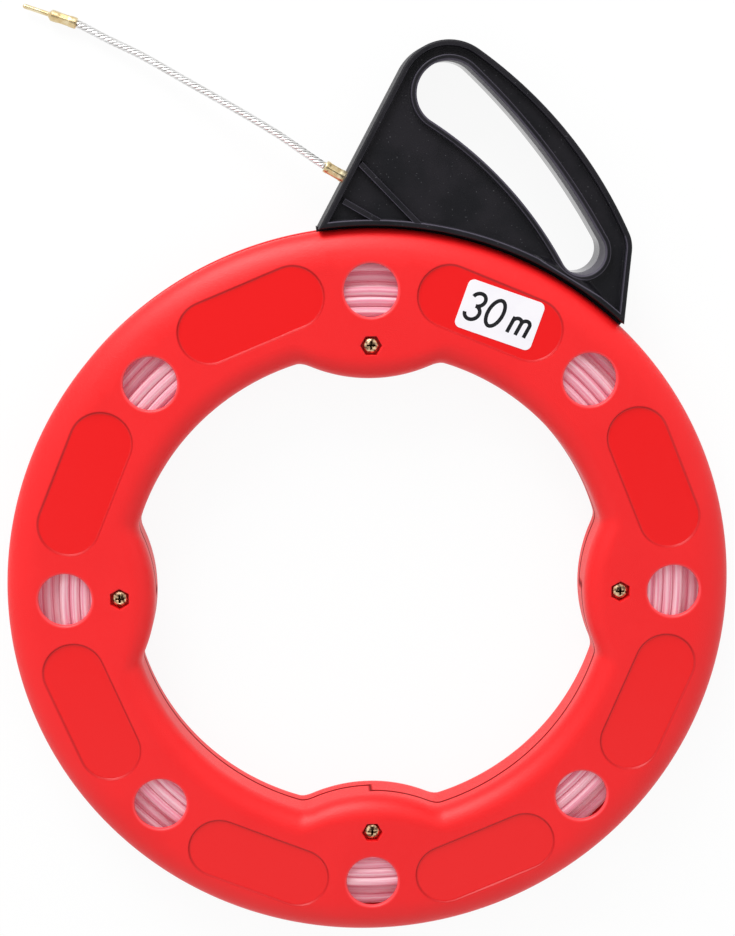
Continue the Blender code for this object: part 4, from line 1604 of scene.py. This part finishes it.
    def rib_skin(self, turn: float) -> Skin:
        """The straight ribs: rounded bars from lip to lip, standing in the panel.

        Args:
            turn: 1 on the front half, -1 on the rear one.

        Returns:
            Their skin.
        """
        half, soft = self.rib_width / 2, self.crease
        mid = MID_ROUND * soft
        low, high = self.top - self.panel_depth - soft, self.top - self.rib_inset
        shape = [(half + self.draft, low), (half + self.draft / 3, high - 3 * soft), (half, high - soft)]
        shape += [(half - mid, high - mid), (half - soft, high)]
        across, z = np.array(shape + [(-out, rise) for out, rise in reversed(shape)]).T
        skin = Skin()
        for first, last in (map(self.off_rim, rib) for rib in self.ribs):
            along = (last - first) / math.hypot(*(last - first))
            side = np.array([-along[1], along[0]])
            ends = np.stack([first + along * self.rib_start, last + along * self.rib_overrun])
            rows = lifted(ends[:, None] + across[None, :, None] * side, z[None] * turn)
            skin.tube(rows + AXIS, light_shade_mark=np.array(self.rib_highlight))
        return skin

    def foot(self) -> None:
        """Make the foot: a tee section, rounded at its corners, carried along the rim's arc."""
        (inside, outside), half, neck, soft = self.flange, self.flange_half, self.neck_half, self.crease
        root = self.rim + self.standoff + 2 * soft
        shape = [(inside, 0.0), (inside, half - soft), (inside + soft, half), (outside - soft, half)]
        shape += [(outside, half - soft), (outside, neck), (root, neck)]
        r, z = np.array(shape + [(out, -rise) for out, rise in shape[:0:-1]]).T
        span = self.base_right - self.foot_overrun, self.base_left + self.foot_overrun
        angles = np.linspace(*span, self.foot_stations)
        skin = Skin()
        skin.tube(lifted(polar(angles[:, None], r[None]), z[None]) + AXIS)
        skin.piece("handle_foot", Body.HANDLE, Slot.HANDLE, BLACK)

    def sink_screws(self, piece: bpy.types.Object) -> None:
        """Cut the wells of the rear half's screws.

        Args:
            piece: The rear half.
        """
        skin = Skin()
        levels = np.array([-self.well_floor, -self.top - self.well_overcut])
        for place in self.screws:
            ring = self.off_rim(place) + polar(full_turn(self.well_sides), self.well_r)
            skin.tube(lifted(np.stack([ring, ring]), levels[:, None]) + AXIS)
        cutter = skin.piece("screw_wells", Body.HANDLE, Slot.HANDLE, BLACK)
        cutter.modifiers.clear()
        cut = piece.modifiers.new("screw_wells", "BOOLEAN")
        cut.object = cutter
        apply_modifiers(piece)
        bpy.data.objects.remove(cutter)

    def build(self) -> None:
        """Make both halves, their ribs and the foot."""
        rows, light_shade_marks = self.half_rows()
        for name, turn in FACING.items():
            skin = Skin()
            skin.grid(rows * np.array([1.0, 1.0, turn]) + AXIS, light_shade_mark=light_shade_marks)
            piece = skin.piece(f"handle_{name}_half", Body.HANDLE, Slot.HANDLE, BLACK)
            if turn < 0:
                self.sink_screws(piece)
            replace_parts(piece, f"handle_{name}")
            self.rib_skin(turn).piece(f"handle_{name}_ribs", Body.HANDLE, Slot.HANDLE, BLACK)
        self.foot()


def apply_modifiers(piece: bpy.types.Object) -> None:
    """Put a piece's evaluated mesh in the place of its own.

    Args:
        piece: The piece, whose modifiers are cleared.
    """
    graph = bpy.context.evaluated_depsgraph_get()
    mesh = bpy.data.meshes.new_from_object(piece.evaluated_get(graph))
    piece.modifiers.clear()
    piece.data = mesh


def tape_line() -> tuple[Array, Array, float]:
    """Where the tape leaves the coil, its heading, and its distance to the handle's left edge.

    Returns:
        The start and the heading as plane vectors, and the distance.
    """
    handle = Handle()
    start, way = polar(TANGENT_ANGLE, TANGENT_R), polar(HEADING, 1.0)
    edge = polar(handle.left_edge(), 1.0)
    gap = handle.base_at(handle.base_left) - start
    return start, way, (gap[0] * edge[1] - gap[1] * edge[0]) / (way[0] * edge[1] - way[1] * edge[0])


@dataclass
class Leader:
    """The tape's end: its run through the handle, the crimped ferrule, the wire leader and its tip."""

    tape_r: float = Coil.tape_r
    seat_gap: float = 0.0003
    ferrule_r: float = 0.0024
    ferrule_inside: float = 0.004
    ferrule_outside: float = 0.0085
    ferrule_crimp: tuple[float, float] = (0.0014, 0.0012)
    rope_r: float = 0.0015
    strand_r: float = 0.00052
    core_inset: float = 1.6
    strands: int = 6
    lay: float = 0.0115
    # How far from the rope's middle the strands' painted shade fades out, as shares of the rope's radius.
    groove_shade_range: tuple[float, float] = (0.7, 0.92)
    fall: float = 0.0125
    tip_heading: float = 161.7
    tip_r: float = 0.0022
    tip_length: float = 0.0110
    tip_crimp: tuple[float, float] = (0.0025, 0.0075)
    tip_fall: float = 0.001
    tip_shoulder: float = 0.0005
    needle_r: float = 0.0009
    needle_root: float = 0.0003
    needle_length: float = 0.0105
    needle_turns: tuple[float, ...] = (0, 20, 40, 60, 78)
    soft: float = 0.0004
    soft_middle: tuple[float, float] = (0.0001, 0.00012)
    crimp_slope: float = 0.0008
    crimp_size: float = 1.06
    route: tuple[tuple[float, float, float], ...] = (
        (0.0, 0.0, 0.0),
        (-0.0177, 0.0119, 0.16),
        (-0.0350, 0.0222, 0.39),
        (-0.0527, 0.0322, 0.64),
        (-0.0704, 0.0422, 0.86),
        (-0.0839, 0.0487, 0.97),
        (-0.0949, 0.0543, 1.0),
    )
    leg_steps: int = 48
    run_steps: int = 60
    ferrule_steps: int = 30
    tip_steps: int = 24
    sides: int = 48
    strand_sides: int = 8
    turned_sharp: float = 30.0

    def rope_path(self, start: Array) -> Array:
        """A smooth curve through the route's points.

        Each leg is a cubic, which at each end runs along the chord of that point's neighbours.

        Args:
            start: The route's first point.

        Returns:
            Rows of points.
        """
        knots = start + np.array(self.route) * np.array([1, 1, -self.fall])
        first = knots[0] - lifted(polar(HEADING, 1.0), 0) * np.linalg.norm(knots[1] - knots[0])
        last = knots[-1] + lifted(polar(self.tip_heading, 1.0), 0) * np.linalg.norm(knots[-1] - knots[-2])
        chain = np.vstack([first, knots, last])
        before, here, there, after = chain[:-3], chain[1:-2], chain[2:-1], chain[3:]
        s = np.linspace(0, 1, self.leg_steps, endpoint=False)[None, :, None]
        near, far = here + (there - before) / 6, there - (after - here) / 6
        legs = [here, near, far, there]
        weights = [(1 - s) ** 3, 3 * s * (1 - s) ** 2, 3 * s**2 * (1 - s), s**3]
        curve = sum(leg[:, None] * weight for leg, weight in zip(legs, weights))
        return np.vstack([curve.reshape(-1, 3), knots[-1]])

    def strand(self, path: Array, phase: float) -> Array:
        """A helix about a path, at the strand's distance from it.

        Args:
            path: The rope's centre line.
            phase: The strand's angle at the start, in radians.

        Returns:
            The strand's own centre line.
        """
        turn = phase + 2 * np.pi * distances(path) / self.lay
        level, raised = path_frames(path)
        reach = self.rope_r - self.strand_r
        return path + reach * (np.cos(turn)[:, None] * level + np.sin(turn)[:, None] * raised)

    def turned(self, profile: Sequence[Pair], start: Array, way: Array, crimp: Pair) -> Array:
        """A turned profile along a line, pressed to a hexagon between two distances.

        Args:
            profile: Distances along the line and radii.
            start: The line's start.
            way: Its direction.
            crimp: Where the hexagon begins and ends.

        Returns:
            Rows of points.
        """
        along, radius = np.array(profile).T
        turn = full_turn(self.sides)
        flats = math.cos(math.pi / 6) * hexagon(turn) * self.crimp_size
        begins = smooth(crimp[0], crimp[0] + self.crimp_slope, along)
        pressed = begins * (1 - smooth(crimp[1] - self.crimp_slope, crimp[1], along))
        shape = radius[:, None] * (1 + pressed[:, None] * (np.minimum(flats, 1.0) - 1)[None])
        level = np.cross(way, UP)
        ring = polar(turn, 1.0) @ np.stack([level, np.cross(level, way)])
        return (start + along[:, None] * way)[:, None] + shape[..., None] * ring[None]

    def run(self, start: Array, way: Array, length: float) -> None:
        """Make the straight tape.

        Args:
            start: Where it leaves the coil.
            way: Its heading.
            length: Its length.
        """
        line = start + np.linspace(0, length, self.run_steps)[:, None] * way
        skin = Skin()
        skin.tube(tube_rows(line, self.tape_r, self.sides))
        piece = skin.piece("tape_straight", Body.LEAD, Slot.TAPE, NYLON)
        mark_tape(piece, line, self.sides)
        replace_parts(piece, "tape_run")

    def rope(self, path: Array) -> bpy.types.Object:
        """The twisted wire: strands round a core, with painted shade in the grooves between them.

        Args:
            path: Its centre line.

        Returns:
            The piece.
        """
        skin = Skin()
        # Painted shade on the strands' inner sides, in the grooves.
        low, high = (share * self.rope_r for share in self.groove_shade_range)
        for index in range(self.strands):
            line = self.strand(path, 2 * np.pi * index / self.strands)
            rows = tube_rows(line, self.strand_r, self.strand_sides)
            away = np.linalg.norm(rows - path[:, None], axis=2)
            skin.tube(rows, light_shade_mark=1 - smooth(low, high, away))
        skin.tube(tube_rows(path, self.rope_r - self.core_inset * self.strand_r, self.strand_sides))
        piece = skin.piece("wire_leader", Body.LEAD, Slot.LEADER, STEEL_WIRE, ROUND_SHARP)
        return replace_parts(piece, "leader_rope")

    def ferrule(self, start: Array, way: Array, mouth: float) -> bpy.types.Object:
        """The crimped ferrule that the tape ends in.

        Args:
            start: The tape line's start.
            way: Its heading.
            mouth: Where it leaves the handle.

        Returns:
            The piece.
        """
        inner, outer = mouth - self.ferrule_inside, mouth + self.ferrule_outside
        r, soft, (back, drop) = self.ferrule_r, self.soft, self.soft_middle
        shape = [(inner, r - soft), (inner + back, r - drop), (inner + soft, r)]
        shape += [(at, r) for at in np.linspace(inner + 2 * soft, outer - 2 * soft, self.ferrule_steps)]
        shape += [(outer - soft, r), (outer - back, r - drop), (outer, r - soft), (outer, self.rope_r)]
        crimp = (mouth + self.ferrule_crimp[0], outer - self.ferrule_crimp[1])
        skin = Skin()
        skin.tube(self.turned(shape, start, way, crimp))
        piece = skin.piece("crimped_ferrule", Body.LEAD, Slot.BRASS, BRASS, self.turned_sharp)
        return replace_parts(piece, "leader_ferrule")

    def tip(self, end: Array) -> bpy.types.Object:
        """The tip: a crimped sleeve, a shoulder and a blunt needle.

        Args:
            end: Where the rope ends.

        Returns:
            The piece.
        """
        way = lifted(polar(self.tip_heading, 1.0), 0)
        r, n, soft, (back, drop) = self.tip_r, self.needle_r, self.soft, self.soft_middle
        length = self.tip_length
        shape = [(0, self.rope_r), (0, r - soft), (back, r - drop), (soft, r)]
        shape += [(at, r) for at in np.linspace(2 * soft, length - 4 * soft, self.tip_steps)]
        shape += [(length - self.tip_fall, r), (length - soft, r - self.tip_shoulder)]
        shape += [(length, n + self.needle_root), (length + soft, n)]
        point = length + self.needle_length - n
        shape += [(point + n * math.sin(t), n * math.cos(t)) for t in np.radians(self.needle_turns)]
        skin = Skin()
        skin.tube(self.turned(shape, end + way * self.seat_gap, way, self.tip_crimp))
        piece = skin.piece("crimped_tip", Body.LEAD, Slot.BRASS, BRASS, self.turned_sharp)
        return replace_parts(piece, "leader_tip")

    def build(self) -> None:
        start, way, mouth = tape_line()
        start, way = lifted(start, 0) + AXIS, lifted(way, 0)
        self.run(start, way, mouth - self.ferrule_inside - self.seat_gap)
        ferrule = self.ferrule(start, way, mouth)
        path = self.rope_path(start + way * (mouth + self.ferrule_outside + self.seat_gap))
        cord = self.rope(path)
        tip = self.tip(path[-1])


@dataclass(frozen=True)
class Bow:
    """A stretch of an ellipse, between two angles in degrees."""

    centre: Pair
    radii: Pair
    span: Pair
    count: int

    def points(self) -> Array:
        """Evenly spaced points of it."""
        return np.array(self.centre) + polar(np.linspace(*self.span, self.count), 1.0) * np.array(self.radii)


@dataclass
class Sticker:
    """A white sticker with the tape's length on one pad."""

    angle: float = 65.8
    distance: float = 0.1223
    tilt: float = -19.5
    length: float = 0.0316
    width: float = 0.0196
    corner: float = 0.0025
    corner_points: int = 12
    thickness: float = 0.00012
    sunk: float = 0.00005
    pad_top: float = Casing.half - Casing.pad_depth
    height: float = 0.0108
    lean: float = 0.16
    stroke: float = 0.0015
    stroke_flat: float = 0.05
    stroke_sides: int = 12
    middle: Pair = (1.19, 0.5)
    three: tuple[Bow, ...] = (
        Bow((0.25, 0.76), (0.24, 0.24), (165, -90), 40),
        Bow((0.25, 0.26), (0.26, 0.26), (90, -170), 40),
    )
    nought: Bow = Bow((1.02, 0.5), (0.27, 0.5), (0, 360), 73)
    stem: tuple[Pair, Pair] = ((1.72, 0.62), (1.72, 0.0))
    stem_points: int = 12
    arches: tuple[Bow, ...] = (
        Bow((1.88, 0.44), (0.16, 0.16), (180, 0), 24),
        Bow((2.20, 0.44), (0.16, 0.16), (180, 0), 24),
    )

    def place(self, points: Array, z: Array | float) -> Array:
        """Sticker coordinates, along its length and across, brought onto the pad."""
        turned = points @ np.stack([polar(self.tilt, 1.0), polar(self.tilt + QUARTER, 1.0)])
        return lifted(polar(self.angle, self.distance) + turned, self.pad_top + z) + AXIS

    def sheet(self) -> None:
        """Make the sheet: a rounded oblong with a soft upper edge."""
        half = np.array([self.length, self.width]) / 2 - self.corner
        signs = np.array([(1, 1), (-1, 1), (-1, -1), (1, -1)])
        turn = np.arange(4)[:, None] * QUARTER + np.linspace(0, QUARTER, self.corner_points)
        ways = polar(turn.ravel(), 1.0)
        hubs = np.repeat(half * signs, self.corner_points, axis=0)
        full, soft = self.thickness, self.thickness / 2
        shape = [(0.0, -self.sunk), (0.0, soft), (soft / 2, full - soft / 4), (soft, full)]
        skin = Skin()
        skin.tube(np.stack([self.place(hubs + ways * (self.corner - back), z) for back, z in shape]))
        skin.piece("length_sticker", Body.REEL, Slot.CASING, PAPER)

    def strokes(self) -> list[Array]:
        """The strokes of a plain 30 m: bows and straight lines on a grid one high, leaning a little.

        Returns:
            Each stroke's points, in the sticker's own coordinates.
        """
        strokes = [bow.points() for bow in (*self.three, self.nought)]
        strokes.append(np.linspace(*np.array(self.stem), self.stem_points))
        for bow in self.arches:
            foot = bow.centre[0] + bow.radii[0], 0.0
            strokes.append(np.vstack([bow.points(), foot]))
        lean = np.array([[1.0, 0.0], [self.lean, 1.0]])
        return [((stroke - np.array(self.middle)) @ lean) * self.height for stroke in strokes]

    def build(self) -> None:
        """Make the sheet and the printed strokes, which lie on it as flat ribbons."""
        self.sheet()
        ink = Skin()
        for stroke in self.strokes():
            line = self.place(stroke, self.thickness)
            ink.tube(tube_rows(line, self.stroke / 2, self.stroke_sides, self.stroke_flat))
        ink.piece("length_print", Body.REEL, Slot.CASING, INK)


@dataclass(frozen=True)
class Lamp:
    """A square area lamp that faces the object: its place, side and power in watts."""

    name: str
    at: tuple[float, float, float]
    size: float
    power: float

    def build(self) -> None:
        """Add the lamp."""
        data = bpy.data.lights.new(self.name, "AREA")
        data.size = self.size
        data.energy = self.power
        lamp = bpy.data.objects.new(self.name, data)
        lamp.location = self.at
        lamp.rotation_euler = (-Vector(self.at)).to_track_quat("-Z", "Y").to_euler()
        bpy.context.scene.collection.objects.link(lamp)


@dataclass
class Studio:
    """A pale floor, an even sky, two soft lamps beyond the handle, a dark card overhead, and the camera."""

    camera_at: tuple[float, float, float] = (-0.03725, 0.14671, 0.72086)
    camera_turn: tuple[float, float, float] = (10.6725, 2.9628, 0.4294)
    focal_pixels: float = 1790.77
    image_height: int = 936
    sensor: float = 36.0
    floor_half: float = 4.0
    floor_drop: float = 0.0003
    floor_colour: Colour = rgb(0.86, 0.86, 0.86)
    floor_roughness: float = 0.9
    floor_glow: float = 0.92
    sky: float = 0.77
    lamps: tuple[Lamp, ...] = (
        Lamp("key", (-0.20, 0.95, 1.35), 1.2, 3.0),
        Lamp("low", (-0.55, 1.50, 0.80), 0.9, 28.0),
    )
    card_half: float = 0.58
    card_at: tuple[float, float, float] = (0.12, 0.10, 1.5)
    card_colour: Colour = rgb(0.01, 0.01, 0.01)

    def camera(self) -> None:
        """Set the camera that the photograph's perspective was fitted with."""
        data = bpy.data.cameras.new("camera")
        data.sensor_fit = "VERTICAL"
        data.sensor_height = self.sensor
        data.lens = self.sensor * self.focal_pixels / self.image_height
        turn = Vector(self.camera_turn)
        rotation = Matrix.Rotation(math.radians(turn.length), 3, turn.normalized()).transposed()
        camera = bpy.data.objects.new("camera", data)
        camera.matrix_world = Matrix.LocRotScale(Vector(self.camera_at), rotation, None)
        bpy.context.scene.collection.objects.link(camera)
        bpy.context.scene.camera = camera

    def sheet(self, name: str, half: float, middle: Array, tree: Tree) -> bpy.types.Object:
        """A level square.

        Args:
            name: Its name.
            half: Half its side.
            middle: Its middle.
            tree: Its material's nodes.

        Returns:
            The square, in the scene.
        """
        corners = np.array([[-1, -1, 0], [1, -1, 0], [1, 1, 0], [-1, 1, 0]]) * half + middle
        mesh = bpy.data.meshes.new(name)
        mesh.from_pydata(corners.tolist(), [], [[0, 1, 2, 3]])
        mesh.materials.append(tree.owner)
        sheet = bpy.data.objects.new(name, mesh)
        bpy.context.scene.collection.objects.link(sheet)
        return sheet

    def floor(self) -> None:
        """Make the floor, which keeps the object's shadow and otherwise reads as white."""
        tree = Tree(bpy.data.materials.new("pale_floor"))
        plain = tree.shade(Base_Color=self.floor_colour, Roughness=self.floor_roughness)
        tree.mix_out(tree.shown() * self.floor_glow, plain, tree.add("ShaderNodeEmission", {}, {}))
        floor = self.sheet("floor", self.floor_half, -UP * self.floor_drop, tree)

    def world(self) -> None:
        """Set an even sky that shows as white."""
        world = bpy.data.worlds.new("studio")
        bpy.context.scene.world = world
        tree = Tree(world)
        white = rgb(1.0, 1.0, 1.0)
        light = tree.given("Background", {"Color": white, "Strength": self.sky})
        tree.mix_out(tree.shown(), light, tree.add("ShaderNodeBackground", {}, {"Color": white}))

    def overhead_card(self) -> None:
        """Hang a dark card over the object, which flat gloss then mirrors in place of the sky."""
        tree = Tree(bpy.data.materials.new("dark_card"))
        tree.shade(Base_Color=self.card_colour)
        card = self.sheet("overhead_card", self.card_half, np.array(self.card_at), tree)
        card.visible_camera = False
        card.visible_diffuse = False
        card.visible_shadow = False

    def build(self) -> None:
        """Set up the camera, floor, world, lamps and card."""
        bpy.context.scene.view_settings.view_transform = "Standard"
        self.camera()
        self.floor()
        self.world()
        for lamp in self.lamps:
            lamp.build()
        self.overhead_card()


def dress_frame() -> None:
    """Give the frame's shown nodes a finish by their slot: brass, nylon for the tape, and plain steel for
    every other slot.
    """
    finishes = {Slot.BRASS.value: BRASS, Slot.TAPE.value: NYLON}
    slots = {row["node"]: row["material_slot"] for row in frame["record"]["subparts"]}
    for name, node in frame["nodes"].items():
        if not node.hide_render:
            node.data.materials.clear()
            node.data.materials.append(finishes.get(slots[name], STEEL).material())
            LOG.info("%s keeps its frame mesh", name)


def main() -> None:
    """Build every sub-assembly in order."""
    logging.basicConfig(level=logging.INFO, format="%(name)s: %(message)s")
    Studio().build()
    Leader().build()
    Casing().build()
    Fasteners().build()
    Coil().build()
    Handle().build()
    Sticker().build()
    dress_frame()


if __name__ == "__main__":
    main()
